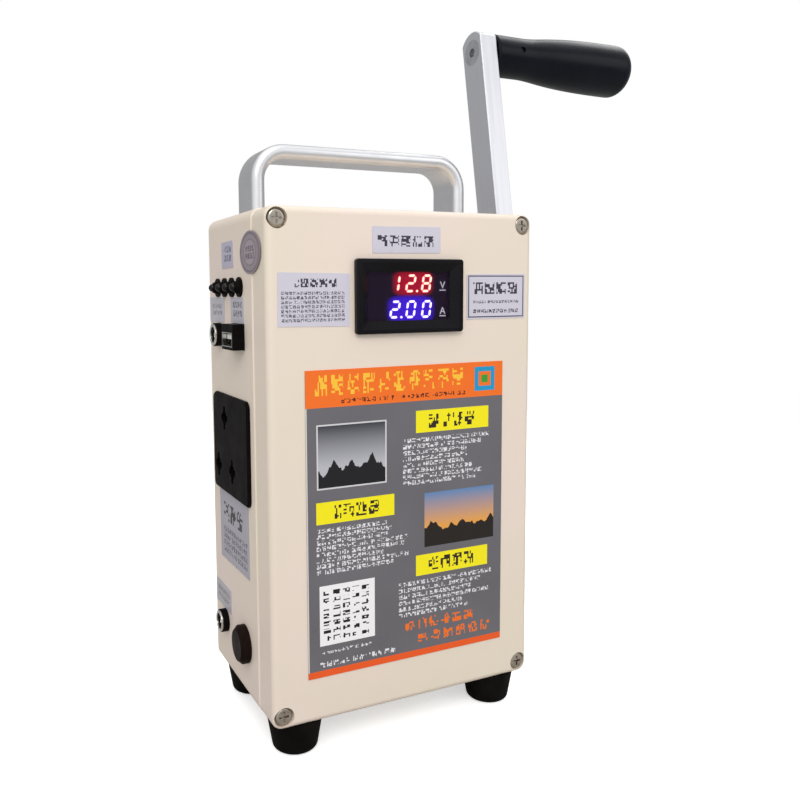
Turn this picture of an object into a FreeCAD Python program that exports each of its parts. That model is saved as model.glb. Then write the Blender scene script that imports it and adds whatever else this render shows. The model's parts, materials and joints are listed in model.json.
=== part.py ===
import FreeCAD, Part

import math
import os

# Hand crank generator, in millimetres.
# The origin is the middle of the four feet, on the floor. X points to the crank side, Y to the
# back and Z up. The crank shaft, the gears and the generator all turn about axes along X.

V = FreeCAD.Vector

# ---------------------------------------------------------------- enclosure
case_width = 120.0
case_height = 200.0
case_depth = 75.0
cover_depth = 15.0
wall = 3.0
corner_radius = 4.5
gusset_radius = 20.0
edge_radius = 2.5
seam_bevel = 0.35
housing_seam_bevel = 0.6
cover_set_back = 0.4
foot_height = 13.5

seal_width = 1.2
seal_depth = 1.5

# ---------------------------------------------------------------- fits
running_gap = 0.05
sliding_gap = 0.1
panel_gap = 0.15
side_gap = 0.3

# ---------------------------------------------------------------- cover screws and inserts
cover_screw_inset = 5.0
cover_screw_r = 2.0
cover_head_r = 3.4
cover_head_h = 2.6
cover_recess_r = 4.0
cover_recess_depth = 3.4
insert_r = 2.8
insert_length = 8.0

# ---------------------------------------------------------------- feet, handle and their screws
foot_inset_x = 13.5
foot_inset_y = 11.2
foot_top_r = 11.25
foot_bottom_r = 8.9
foot_edge_r = 2.4
foot_recess_r = 4.4
foot_recess_depth = 6.5
foot_screw_r = 1.5
foot_head_r = 3.0
foot_head_h = 2.2
foot_nut_across_flats = 5.5
foot_nut_height = 2.4
handle_screw_r = 2.0
handle_head_r = 3.8
handle_head_h = 2.5
handle_inset = 11.5
handle_y = 9.8
handle_thickness = 6.0
handle_depth = 20.4
handle_rise = 29.0
handle_bend_r = 12.0
handle_thread_depth = 9.0

# ---------------------------------------------------------------- meter
meter_width = 48.0
meter_height = 29.0
meter_below_top = 34.0
meter_proud = 2.5
meter_corner_r = 1.2
meter_body_width = 45.0
meter_body_height = 26.0
meter_body_depth = 18.0
meter_wall = 1.2
window_width = 37.0
window_height = 19.0
window_bevel = 3.4
window_thickness = 1.0
clip_proud = 1.3
display_depth = 6.5
board_thickness = 1.6
digit_height = 7.2
digit_width = 4.5
digit_pitch = 7.15
digit_stroke = 1.1
digit_slant = 0.15
digit_relief = 0.3
digit_left = -8.7
volt_row = 1.4
amp_row = -8.8
stroke_gap = 0.15

# ---------------------------------------------------------------- lamps
lamp_below_top = 29.8
lamp_first_y = -7.8
lamp_pitch = 9.8
lamp_count = 4
lamp_r = 1.6
lamp_tip = 4.4
lamp_back = 5.5
lamp_rim_r = 2.0
lamp_rim = 0.8
lamp_flange_r = 3.95
lamp_barrel_r = 3.2
lamp_flange = 0.8
lamp_cone = 1.8
lamp_cone_foot_r = 2.9
lamp_cone_tip_r = 2.05

# ---------------------------------------------------------------- USB socket
usb_y = -5.2
usb_below_top = 49.6
usb_width = 14.6
usb_height = 10.2
usb_proud = 4.9
usb_inside = 7.0
usb_shell_width = 13.1
usb_shell_height = 5.7
usb_shell_wall = 0.3
usb_shell_depth = 14.0
usb_shell_drop = 1.0
usb_shell_proud = 0.15
usb_tongue_width = 11.0
usb_tongue_height = 1.8
usb_tongue_set_back = 1.8

# ---------------------------------------------------------------- DC jacks
jack_y = 20.8
upper_jack_below_top = 49.8
lower_jack_above_bottom = 23.0
jack_proud = 3.5
jack_r = 5.0
jack_thread_r = 4.0
jack_inside = 9.0
jack_bore_r = 2.75
jack_bore_depth = 9.5
jack_ring_r = 4.6
jack_ring_bore_r = 3.4
jack_ring = 0.7
jack_pin_r = 1.05
jack_pin_set_back = 1.0
jack_nut_r = 5.8
jack_nut = 2.2

# ---------------------------------------------------------------- mains socket
socket_y = 6.0
socket_above_mid = 3.8
socket_width = 47.0
socket_height = 42.6
socket_corner_r = 3.2
socket_flange = 1.5
socket_bevel = 0.8
socket_body_width = 41.0
socket_body_height = 36.0
socket_front_depth = 12.0
socket_back_depth = 10.0
slot_spread = 9.5
slot_drop = 10.3
slot_rise = 11.2
slot_shift = 6.6
slot_long = 10.0
slot_across = 8.4
slot_narrow = 2.6
slot_round_r = 3.2
contact_width = 6.0
contact_height = 9.0
contact_depth = 7.0
contact_metal = 0.9

# ---------------------------------------------------------------- push button
button_y = -6.4
button_above_bottom = 23.1
button_bezel_r = 7.9
button_bezel = 3.3
button_bezel_bevel = 0.8
button_barrel_r = 7.4
button_bore_r = 6.8
button_tip = 4.2
button_cap = 6.2
button_stem_r = 2.4
button_stem = 9.5
button_travel = 2.0
button_floor = 1.4
button_back = 14.0
button_nut_r = 10.0
button_nut = 2.4
button_edge_r = 0.8
spring_wire_r = 0.35
spring_r = 4.6
spring_turns = 3.5
switch_depth = 8.0
switch_side = 10.0
switch_cap = 1.5
switch_leg = 4.0

# ---------------------------------------------------------------- gear train and crank
pivot_below_top = 50.0
gear_module = 1.0
pressure_angle = 20.0
gear_backlash = 0.16
big_teeth = 54
small_teeth = 18
plate_gap = 20.0
plate_thickness = 3.0
inner_plate_thickness = 2.0
boss_length = 5.0
plate_behind_meter = 1.0
plate_above_shaft = 38.0
plate_below_rotor = 35.5
plate_corner_r = 5.0
plate_screw_inset = 5.5
spacer_r = 3.5
long_screw_r = 2.0
long_head_r = 3.5
long_head = 3.0
boss_r = 4.5
boss_bite = 1.6
crank_gear_width = 7.0
idler_gear_width = 7.0
gear_end_gap = 0.5
hub_step = 1.0
hub_r = 7.0
idler_pin_r = 3.0
pin_overhang = 1.5
shaft_r = 5.0
bearing_r = 9.5
bearing_width = 5.0
lightening_r = 4.2
lightening_circle_r = 16.5
lightening_count = 6
bush_flange_r = 11.0
bush_flange = 2.5
bush_r = 8.0
bush_inside = 1.5
spacer_sleeve_r = 8.5
arm_from_case = 10.0
arm_thickness = 9.3
arm_width = 15.5
arm_length = 135.0
arm_lean = 9.6
arm_end_r = 9.8
arm_edge = 0.4
square_drive = 6.9
arm_screw_r = 2.4
arm_screw_depth = 12.0
arm_washer_r = 7.0
arm_washer = 1.2
arm_head_r = 4.7
arm_head = 2.8
hex_socket = 4.0
hex_depth = 2.6

# ---------------------------------------------------------------- grip
grip_gap = 0.4
grip_length = 86.0
grip_neck_r = 9.7
grip_waist_from = 18.0
grip_waist_reach = 11.0
grip_flare_at = 35.0
grip_end_r = 13.0
grip_dome = 8.8
grip_edge = 0.8
spindle_r = 3.0
spindle_head_r = 6.0
spindle_depth = 72.0
spindle_groove_at = 13.6
spindle_groove = 3.4
spindle_groove_r = 2.3
grip_pin_r = 1.5
grip_pin_sink = 1.0
grip_pin_tip_r = 2.45
grip_pin_angle = 170.0

# ---------------------------------------------------------------- generator
generator_r = 26.0
generator_length = 36.0
generator_wall = 2.0
generator_front = 3.0
generator_cap_thickness = 3.0
cap_spigot = 2.0
pilot_r = 8.0
rotor_shaft_r = 2.5
rotor_pinion_width = 8.0
rotor_pinion_gap = 1.5
magnet_r = 15.0
air_gap = 0.6
core_length = 20.0
core_slots = 9
core_slot_r = 21.0
core_slot_width = 5.6
coil_overhang = 3.0
coil_gap = 0.3
generator_screw_r = 1.5
generator_screw_head_r = 2.9
generator_screw_circle_r = 16.0
generator_screw_length = 4.6

# ---------------------------------------------------------------- electronics
standoff_height = 3.0
standoff_r = 3.5
inverter_from_left = (12.0, 80.0)
inverter_below_top = (90.0, 12.0)
controller_from_left = (11.0, 70.0)
controller_above_bottom = (9.0, 60.0)
standoff_inset = 5.0
transformer_from_left = (36.0, 64.0)
transformer_below_top = (76.0, 50.0)
transformer_depth = 20.0
capacitor_r = 6.25
capacitor_length = 25.0
capacitor_from_left = 28.5
capacitor_above_bottom = 30.0
capacitor_pitch = 13.2
capacitor_columns = 2
capacitor_rows = 3
usb_board_y = (-18.0, 8.0)
usb_board_height = 16.0

# ---------------------------------------------------------------- labels
# Each label has its two ends along the face, then its lower and upper ends measured from the
# middle, the top or the bottom of the enclosure.
label_thickness = 0.25
info_label_x = (-45.0, 45.0)
info_label_above_mid = (-82.0, 38.5)
meter_label_x = (-16.3, 14.3)
meter_label_below_top = (17.2, 7.0)
note_label_x = (-56.0, -26.0)
note_label_below_top = (45.0, 25.0)
formula_label_x = (27.0, 56.0)
formula_label_below_top = (43.7, 25.3)
lamp_label_y = (0.2, 15.6)
lamp_label_below_top = (21.8, 11.0)
jack_tag_y = (13.4, 34.8)
jack_tag_below_top = (44.6, 33.9)
usb_tag_y = (-12.6, 4.4)
usb_tag_below_top = (44.3, 33.9)
mains_tag_y = (-13.6, 25.5)
mains_tag_above_mid = (-48.2, -17.8)
lower_tag_y = (12.6, 34.6)
lower_tag_above_bottom = (28.2, 38.8)
seal_sticker_y = -21.8
seal_sticker_below_top = 16.8
seal_sticker_width = 25.4
seal_sticker_height = 17.6

# ---------------------------------------------------------------- worked out from the above
front_y = -case_depth / 2
rear_y = case_depth / 2
seam_y = front_y + cover_depth
case_bottom = foot_height
case_mid = case_bottom + case_height / 2
case_top = case_bottom + case_height
side_x = case_width / 2
inner_x = side_x - wall
inner_front = front_y + wall
inner_rear = rear_y - wall
inner_bottom = case_bottom + wall
inner_top = case_top - wall
screw_x = side_x - cover_screw_inset
screw_low_z = case_bottom + cover_screw_inset
screw_high_z = case_top - cover_screw_inset
foot_x = side_x - foot_inset_x
foot_y = rear_y - foot_inset_y
handle_x = side_x - handle_inset
meter_z = case_top - meter_below_top
meter_front = front_y - meter_proud
lamp_z = case_top - lamp_below_top
usb_z = case_top - usb_below_top
socket_z = case_mid + socket_above_mid
button_z = case_bottom + button_above_bottom
jack_places = (case_top - upper_jack_below_top, case_bottom + lower_jack_above_bottom)
pivot_z = case_top - pivot_below_top
gear_centre_distance = gear_module * (big_teeth + small_teeth) / 2
idler_z = pivot_z - gear_centre_distance
rotor_z = idler_z - gear_centre_distance
outer_plate_x = inner_x - boss_length
inner_plate_x = outer_plate_x - plate_thickness - plate_gap
outer_bearing_face = outer_plate_x - plate_thickness / 2 - bearing_width / 2
crank_gear_x = outer_bearing_face - gear_end_gap - hub_step - crank_gear_width
idler_gear_x = inner_plate_x + 2 * hub_step
arm_x = side_x + arm_from_case
arm_outer_x = arm_x + arm_thickness
lean = math.radians(arm_lean)
grip_y = arm_length * math.sin(lean)
grip_z = pivot_z + arm_length * math.cos(lean)
grip_x = arm_outer_x + grip_gap
plate_half_depth = case_depth / 2 - meter_body_depth - plate_behind_meter
generator_front_x = inner_plate_x - inner_plate_thickness
generator_back_x = generator_front_x - generator_length
board_front_y = inner_rear - standoff_height - board_thickness
board_rear_y = inner_rear - standoff_height
inverter_x = (inverter_from_left[0] - side_x, inverter_from_left[1] - side_x)
controller_x = (controller_from_left[0] - side_x, controller_from_left[1] - side_x)
transformer_x = (transformer_from_left[0] - side_x, transformer_from_left[1] - side_x)
capacitor_x = capacitor_from_left - side_x


# ---------------------------------------------------------------- shapes used by many pieces
def block(x, y, z):
    """Box between the two ends given for each axis."""
    return Part.makeBox(x[1] - x[0], y[1] - y[0], z[1] - z[0], V(x[0], y[0], z[0]))


def rod_x(y, z, r, x0, x1):
    """Round bar along X."""
    return Part.makeCylinder(r, x1 - x0, V(x0, y, z), V(1, 0, 0))


def rod_y(x, z, r, y0, y1):
    """Round bar along Y."""
    return Part.makeCylinder(r, y1 - y0, V(x, y0, z), V(0, 1, 0))


def rod_z(x, y, r, z0, z1):
    """Round bar along Z."""
    return Part.makeCylinder(r, z1 - z0, V(x, y, z0), V(0, 0, 1))


def ring_x(y, z, r_out, r_in, x0, x1):
    """Tube along X."""
    return rod_x(y, z, r_out, x0, x1).cut(rod_x(y, z, r_in, x0 - 1, x1 + 1))


def cone_x(y, z, r0, r1, x0, x1):
    """Cone along X, from radius r0 at x0 to r1 at x1."""
    return Part.makeCone(r0, r1, x1 - x0, V(x0, y, z), V(1, 0, 0))


def edges_along(shape, axis):
    """The straight edges of a shape that run along one axis."""
    found = []
    for edge in shape.Edges:
        ends = [v.Point for v in edge.Vertexes]
        if len(ends) != 2 or edge.Curve.TypeId != "Part::GeomLine":
            continue
        run = (ends[1] - ends[0]).normalize()
        if abs(run.dot(axis)) > 0.999:
            found.append(edge)
    return found


def edges_in_plane(shape, axis, place):
    """The edges of a shape that lie in the plane at that place along an axis."""
    found = []
    for edge in shape.Edges:
        box = edge.BoundBox
        low = V(box.XMin, box.YMin, box.ZMin).dot(axis)
        high = V(box.XMax, box.YMax, box.ZMax).dot(axis)
        if abs(low - place) < 1e-4 and abs(high - place) < 1e-4:
            found.append(edge)
    return found


def slab_y(width, height, radius, y0, y1, x=0.0, z=case_mid):
    """Plate facing the front, with rounded corners, between y0 and y1."""
    half_w = width / 2
    half_h = height / 2
    plate = block((x - half_w, x + half_w), (y0, y1), (z - half_h, z + half_h))
    return plate.makeFillet(radius, edges_along(plate, V(0, 1, 0)))


def slab_x(width, height, radius, x0, x1, y, z):
    """Plate facing the side, with rounded corners, between x0 and x1."""
    half_w = width / 2
    half_h = height / 2
    plate = block((x0, x1), (y - half_w, y + half_w), (z - half_h, z + half_h))
    return plate.makeFillet(radius, edges_along(plate, V(1, 0, 0)))


def hex_x(y, z, across_flats, x0, x1):
    """Hexagonal bar along X."""
    r = across_flats / math.sqrt(3)
    points = []
    for k in range(7):
        a = math.radians(60 * k)
        points.append(V(x0, y + r * math.cos(a), z + r * math.sin(a)))
    return Part.Face(Part.makePolygon(points)).extrude(V(x1 - x0, 0, 0))


def hex_z(x, y, across_flats, z0, z1):
    """Hexagonal bar along Z, with two flats facing the front and back."""
    r = across_flats / math.sqrt(3)
    points = []
    for k in range(7):
        a = math.radians(60 * k)
        points.append(V(x + r * math.cos(a), y + r * math.sin(a), z0))
    return Part.Face(Part.makePolygon(points)).extrude(V(0, 0, z1 - z0))


def fuse_all(shapes):
    """One solid from overlapping or touching ones."""
    return shapes[0].multiFuse(shapes[1:]).removeSplitter()


def cover_screw_places():
    """X and Z of the four cover screws."""
    return [(sx * screw_x, z) for sx in (-1, 1) for z in (screw_low_z, screw_high_z)]


def foot_places():
    """X and Y of the four feet."""
    return [(sx * foot_x, sy * foot_y) for sx in (-1, 1) for sy in (-1, 1)]


def lamp_places():
    """Y of each lamp."""
    return [lamp_first_y + k * lamp_pitch for k in range(lamp_count)]


def standoff_places():
    """X and Z of the board standoffs on the rear wall."""
    low = case_bottom + controller_above_bottom[0]
    high = case_bottom + controller_above_bottom[1]
    places = [(x, z) for x in inset(controller_x) for z in inset((low, high))]
    low = case_top - inverter_below_top[0]
    high = case_top - inverter_below_top[1]
    return places + [(x, z) for x in inset(inverter_x) for z in inset((low, high))]


def inset(span):
    """The two places that lie a standoff inset inside a span."""
    return (span[0] + standoff_inset, span[1] - standoff_inset)


def plate_screw_places():
    """Y and Z of the four long screws of the gear plates."""
    low = rotor_z - plate_below_rotor + plate_screw_inset
    high = pivot_z + plate_above_shaft - plate_screw_inset
    y = plate_half_depth - plate_screw_inset
    return [(sy * y, z) for sy in (-1, 1) for z in (low, high)]


# ---------------------------------------------------------------- enclosure
def foot_screw_cuts(x, y):
    """Hole of a foot's screw through the floor, and room for its nut in the thick corner."""
    nut_r = foot_nut_across_flats / math.sqrt(3) + side_gap
    hole = rod_z(x, y, foot_screw_r + panel_gap, case_bottom - 1, inner_bottom + 1)
    return [hole, rod_z(x, y, nut_r, inner_bottom, inner_bottom + gusset_radius / 2)]


def front_cover():
    """Shallow tray that closes the front, set back from the housing except below, where the feet are."""
    width = case_width - 2 * cover_set_back
    height = case_height - cover_set_back
    radius = corner_radius - cover_set_back
    body = slab_y(width, height, radius, front_y, seam_y, 0.0, case_mid - cover_set_back / 2)
    body = body.makeFillet(edge_radius, edges_in_plane(body, V(0, 1, 0), front_y))
    body = body.makeChamfer(seam_bevel, edges_in_plane(body, V(0, 1, 0), seam_y))
    inside_w = case_width - 2 * wall
    inside_h = case_height - 2 * wall
    cuts = [slab_y(inside_w, inside_h, gusset_radius, inner_front, seam_y + 1)]
    for x, z in cover_screw_places():
        cuts.append(rod_y(x, z, cover_recess_r, front_y - 1, front_y + cover_recess_depth))
        cuts.append(rod_y(x, z, cover_screw_r + panel_gap, front_y, seam_y + 1))
    half_w = meter_body_width / 2 + panel_gap
    half_h = meter_body_height / 2 + panel_gap
    z_span = (meter_z - half_h, meter_z + half_h)
    cuts.append(block((-half_w, half_w), (front_y - 1, inner_front + 1), z_span))
    for x in (-foot_x, foot_x):
        cuts += foot_screw_cuts(x, -foot_y)
    return body.cut(cuts)


def seal_path(grow):
    """Rounded frame along the middle of the wall, grown by half the seal's width."""
    width = case_width - wall + 2 * grow
    height = case_height - wall + 2 * grow
    return slab_y(width, height, gusset_radius + wall / 2 + grow, seam_y, seam_y + seal_depth)


def cover_gasket():
    """Rubber seal in the groove of the rear housing's rim."""
    return seal_path(seal_width / 2).cut(seal_path(-seal_width / 2))


def side_openings():
    """Everything cut through the left and right walls of the rear housing."""
    left = (-side_x - 1, -inner_x + 1)
    cuts = []
    for y in lamp_places():
        cuts.append(rod_x(y, lamp_z, lamp_barrel_r + panel_gap, *left))
    half_w = usb_width / 2 + panel_gap
    half_h = usb_height / 2 + panel_gap
    cuts.append(block(left, (usb_y - half_w, usb_y + half_w), (usb_z - half_h, usb_z + half_h)))
    for z in jack_places:
        cuts.append(rod_x(jack_y, z, jack_thread_r + panel_gap, *left))
        cuts.append(rod_x(jack_y, z, jack_nut_r + side_gap, -inner_x, 0))
    half_w = socket_body_width / 2 + panel_gap
    half_h = socket_body_height / 2 + panel_gap
    cuts.append(block(left, (socket_y - half_w, socket_y + half_w), (socket_z - half_h, socket_z + half_h)))
    cuts.append(rod_x(button_y, button_z, button_barrel_r + panel_gap, *left))
    cuts.append(rod_x(button_y, button_z, button_nut_r + side_gap, -inner_x, 0))
    cuts.append(rod_x(0, pivot_z, bush_r, inner_x - 1, side_x + 1))
    return cuts


def inner_bosses():
    """Standoffs of the boards and bosses of the gear plates, moulded on the walls."""
    bosses = []
    for x, z in standoff_places():
        bosses.append(rod_y(x, z, standoff_r, board_rear_y, rear_y - wall / 2))
    for y, z in plate_screw_places():
        bosses.append(rod_x(y, z, boss_r, outer_plate_x, side_x - wall / 2))
    return bosses


def rear_housing():
    """Deep shell that holds everything."""
    body = slab_y(case_width, case_height, corner_radius, seam_y, rear_y)
    body = body.makeFillet(edge_radius, edges_in_plane(body, V(0, 1, 0), rear_y))
    body = body.makeChamfer(housing_seam_bevel, edges_in_plane(body, V(0, 1, 0), seam_y))
    inside_w = case_width - 2 * wall
    inside_h = case_height - 2 * wall
    body = body.cut(slab_y(inside_w, inside_h, gusset_radius, seam_y - 1, inner_rear))
    body = body.fuse(inner_bosses())
    cuts = [cover_gasket()] + side_openings()
    for x, z in cover_screw_places():
        cuts.append(rod_y(x, z, insert_r, seam_y - 1, seam_y + insert_length))
        cuts.append(rod_y(x, z, cover_screw_r + panel_gap, seam_y, seam_y + 2 * insert_length))
    for x in (-foot_x, foot_x):
        cuts += foot_screw_cuts(x, foot_y)
    for x in (-handle_x, handle_x):
        cuts.append(rod_z(x, handle_y, handle_screw_r + panel_gap, inner_top - 1, case_top + 1))
        cuts.append(rod_z(x, handle_y, handle_head_r + side_gap, inner_top - gusset_radius / 2, inner_top))
    for y, z in plate_screw_places():
        cuts.append(rod_x(y, z, long_screw_r, outer_plate_x - 1, inner_x + boss_bite))
    return body.cut(cuts)


def insert_nuts():
    """Four threaded brass inserts in the corners of the rear housing."""
    nuts = []
    for x, z in cover_screw_places():
        nut = rod_y(x, z, insert_r, seam_y, seam_y + insert_length)
        nuts.append(nut.cut(rod_y(x, z, cover_screw_r, seam_y - 1, seam_y + insert_length + 1)))
    return nuts


def cross_recess(x, z, y, depth, size):
    """Cross cut in a screw head that faces the front."""
    arm = size / 5
    tall = block((x - arm, x + arm), (y - 1, y + depth), (z - size, z + size))
    wide = block((x - size, x + size), (y - 1, y + depth), (z - arm, z + arm))
    return tall.fuse(wide)


def cover_screws():
    """Four pan head screws with cross recesses, sunk in the front cover."""
    screws = []
    seat = front_y + cover_recess_depth
    top = seat - cover_head_h
    for x, z in cover_screw_places():
        head = rod_y(x, z, cover_head_r, top, seat)
        head = head.makeFillet(cover_head_h / 3, edges_in_plane(head, V(0, 1, 0), top))
        shank = rod_y(x, z, cover_screw_r, seat, seam_y + insert_length)
        recess = cross_recess(x, z, top, cover_head_h / 2, cover_head_r * 0.6)
        screws.append(head.fuse(shank).cut(recess))
    return screws


def carry_handle():
    """U of flat oval aluminium, bent from one bar."""
    outer_w = 2 * handle_x + handle_thickness
    outer_r = handle_bend_r + handle_thickness / 2
    inner_r = handle_bend_r - handle_thickness / 2
    low = case_top - outer_r
    high = case_top + handle_rise
    half_d = handle_depth / 2
    y0 = handle_y - half_d
    y1 = handle_y + half_d
    outer = slab_y(outer_w, high - low, outer_r, y0, y1, 0.0, (low + high) / 2)
    inner_w = 2 * handle_x - handle_thickness
    inner_h = high - low
    inner = slab_y(inner_w, inner_h, inner_r, y0 - 1, y1 + 1, 0.0, (low + high) / 2 - handle_thickness)
    bar = outer.cut(inner)
    bar = bar.cut(block((-side_x, side_x), (y0 - 1, y1 + 1), (low - outer_r, case_top)))
    rims = edges_in_plane(bar, V(0, 1, 0), y0) + edges_in_plane(bar, V(0, 1, 0), y1)
    rims = [e for e in rims if abs(e.BoundBox.ZMax - case_top) > 1e-4]
    bar = bar.makeFillet(handle_thickness * 0.46, rims)
    for x in (-handle_x, handle_x):
        bar = bar.cut(rod_z(x, handle_y, handle_screw_r, case_top - 1, case_top + handle_thread_depth))
    return bar


def screw_up(x, y, seat, end, r, head_r, head_h):
    """Pan head screw that points up, with its head under the seat."""
    low = seat - head_h
    head = rod_z(x, y, head_r, low, seat)
    head = head.makeFillet(head_h / 3, edges_in_plane(head, V(0, 0, 1), low))
    arm = head_r * 0.6
    slot = block((x - arm / 5, x + arm / 5), (y - arm, y + arm), (low - 1, low + head_h / 2))
    cross = slot.fuse(slot.rotated(V(x, y, 0), V(0, 0, 1), 90))
    return head.fuse(rod_z(x, y, r, seat, end)).cut(cross)


def foot_screws():
    """Screws up through the feet and the floor into their nuts."""
    end = inner_bottom + foot_nut_height + 1
    sizes = (foot_recess_depth, end, foot_screw_r, foot_head_r, foot_head_h)
    return [screw_up(x, y, *sizes) for x, y in foot_places()]


def handle_screws():
    """Screws from inside the case up into the legs of the handle."""
    end = case_top + handle_thread_depth - 1
    sizes = (inner_top, end, handle_screw_r, handle_head_r, handle_head_h)
    return [screw_up(x, handle_y, *sizes) for x in (-handle_x, handle_x)]


def foot_nuts():
    """Hexagon nuts that hold the feet."""
    nuts = []
    top = inner_bottom + foot_nut_height
    for x, y in foot_places():
        nut = hex_z(x, y, foot_nut_across_flats, inner_bottom, top)
        nuts.append(nut.cut(rod_z(x, y, foot_screw_r, inner_bottom - 1, top + 1)))
    return nuts


def rubber_feet():
    """Four tapered rubber feet, each with a recess for its screw."""
    feet = []
    for x, y in foot_places():
        foot = Part.makeCone(foot_bottom_r, foot_top_r, foot_height, V(x, y, 0), V(0, 0, 1))
        foot = foot.makeFillet(foot_edge_r, edges_in_plane(foot, V(0, 0, 1), 0))
        foot = foot.cut(rod_z(x, y, foot_recess_r, -1, foot_recess_depth))
        feet.append(foot.cut(rod_z(x, y, foot_screw_r + panel_gap, 0, foot_height + 1)))
    return feet


# ---------------------------------------------------------------- meter
def window_opening():
    """Funnel from the meter's front down to its window."""
    wide = window_width + 2 * window_bevel
    tall = window_height + 2 * window_bevel
    back = front_y - 0.4
    outer = rectangle_y(wide, tall, meter_front)
    inner = rectangle_y(window_width, window_height, back)
    funnel = Part.makeLoft([outer, inner], True)
    half_w = window_width / 2
    half_h = window_height / 2
    through = block((-half_w, half_w), (back, front_y + 1), (meter_z - half_h, meter_z + half_h))
    return funnel.fuse(through)


def rectangle_y(width, height, y):
    """Closed rectangle facing the front, centred on the meter."""
    half_w = width / 2
    half_h = height / 2
    corners = [(-1, -1), (1, -1), (1, 1), (-1, 1), (-1, -1)]
    return Part.makePolygon([V(a * half_w, y, meter_z + b * half_h) for a, b in corners])


def meter_housing():
    """Black housing with a bevelled bezel in front and snap arms at its sides."""
    bezel = slab_y(meter_width, meter_height, meter_corner_r, meter_front, front_y, 0.0, meter_z)
    bezel = bezel.makeFillet(meter_corner_r / 2, edges_in_plane(bezel, V(0, 1, 0), meter_front))
    back = front_y + meter_body_depth
    half_w = meter_body_width / 2
    half_h = meter_body_height / 2
    body = block((-half_w, half_w), (front_y, back), (meter_z - half_h, meter_z + half_h))
    in_w = half_w - meter_wall
    in_h = half_h - meter_wall
    room = block((-in_w, in_w), (front_y - 0.4, back + 1), (meter_z - in_h, meter_z + in_h))
    clips = []
    for side in (-1, 1):
        tip = side * (half_w + clip_proud)
        points = [V(side * half_w, inner_front + panel_gap, meter_z - 4)]
        points.append(V(tip, inner_front + panel_gap, meter_z - 4))
        points.append(V(side * half_w, inner_front + 6, meter_z - 4))
        points.append(points[0])
        clips.append(Part.Face(Part.makePolygon(points)).extrude(V(0, 0, 8)))
    return fuse_all([bezel, body] + clips).cut([room, window_opening()])


def meter_inside(y0, y1, gap):
    """Plate that fills the meter's housing between y0 and y1."""
    half_w = meter_body_width / 2 - meter_wall - gap
    half_h = meter_body_height / 2 - meter_wall - gap
    return block((-half_w, half_w), (y0, y1), (meter_z - half_h, meter_z + half_h))


def meter_window():
    """Smoked window behind the bezel."""
    return meter_inside(front_y - 0.4, front_y - 0.4 + window_thickness, running_gap)


def display_face():
    """Y of the display's front face."""
    return front_y - 0.4 + window_thickness + digit_relief + 0.1


def meter_display():
    """Black display block, and the board that closes the meter behind it."""
    front = display_face()
    back = front + display_depth
    display = meter_inside(front, back, running_gap)
    board = meter_inside(back, back + board_thickness, running_gap)
    plug = block((-6, 6), (back + board_thickness, back + board_thickness + 6), (meter_z - 4, meter_z + 2))
    return [display, board, plug]


def stroke(points, x0, z0):
    """One slanted bar of a digit, from its outline measured from the digit's lower left corner."""
    y = display_face() - digit_relief
    corners = [V(x0 + x + digit_slant * z, y, z0 + z) for x, z in points]
    return Part.Face(Part.makePolygon(corners + corners[:1])).extrude(V(0, digit_relief, 0))


def lying_bar(x0, z0, middle):
    """Bar along X with pointed ends, at a height inside the digit."""
    h = digit_stroke / 2
    left = h + stroke_gap
    right = digit_width - h - stroke_gap
    points = [(left, middle), (left + h, middle - h), (right - h, middle - h)]
    points += [(right, middle), (right - h, middle + h), (left + h, middle + h)]
    return stroke(points, x0, z0)


def standing_bar(x0, z0, middle, low):
    """Bar along Z with pointed ends, in the lower or upper half of the digit."""
    h = digit_stroke / 2
    bottom = low + h + stroke_gap
    top = low + (digit_height - digit_stroke) / 2 + h - stroke_gap
    points = [(middle, bottom), (middle + h, bottom + h), (middle + h, top - h)]
    points += [(middle, top), (middle - h, top - h), (middle - h, bottom + h)]
    return stroke(points, x0, z0)


def digit(character, x0, z0):
    """The lit bars of one seven-segment digit."""
    lit = {"0": "abcdef", "1": "bc", "2": "abdeg", "8": "abcdefg"}[character]
    h = digit_stroke / 2
    half = (digit_height - digit_stroke) / 2
    right = digit_width - h
    bars = {
        "a": lambda: lying_bar(x0, z0, digit_height - h),
        "g": lambda: lying_bar(x0, z0, digit_height / 2),
        "d": lambda: lying_bar(x0, z0, h),
        "b": lambda: standing_bar(x0, z0, right, half),
        "c": lambda: standing_bar(x0, z0, right, 0.0),
        "f": lambda: standing_bar(x0, z0, h, half),
        "e": lambda: standing_bar(x0, z0, h, 0.0),
    }
    return [bars[name]() for name in lit]


def readout(text, row):
    """A row of digits; a point follows the digit before it."""
    bars = []
    place = 0
    for character in text:
        x0 = digit_left + place * digit_pitch
        z0 = meter_z + row
        if character == ".":
            r = digit_stroke / 2
            y = display_face() - digit_relief
            bars.append(rod_y(x0 - digit_pitch + digit_width + 2 * r, z0 + r, r, y, y + digit_relief))
        else:
            bars += digit(character, x0, z0)
            place += 1
    return bars


# ---------------------------------------------------------------- left side fittings
def lamp_bezels():
    """Black holders of the four lamps."""
    bezels = []
    for y in lamp_places():
        flange = rod_x(y, lamp_z, lamp_flange_r, -side_x - lamp_flange, -side_x)
        start = -side_x - lamp_flange - lamp_cone
        cone = cone_x(y, lamp_z, lamp_cone_tip_r, lamp_cone_foot_r, start, -side_x - lamp_flange)
        barrel = rod_x(y, lamp_z, lamp_barrel_r, -side_x, -side_x + lamp_back)
        bore = rod_x(y, lamp_z, lamp_r, start - 1, -side_x + lamp_back + 1)
        bezels.append(fuse_all([cone, flange, barrel]).cut(bore))
    return bezels


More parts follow.
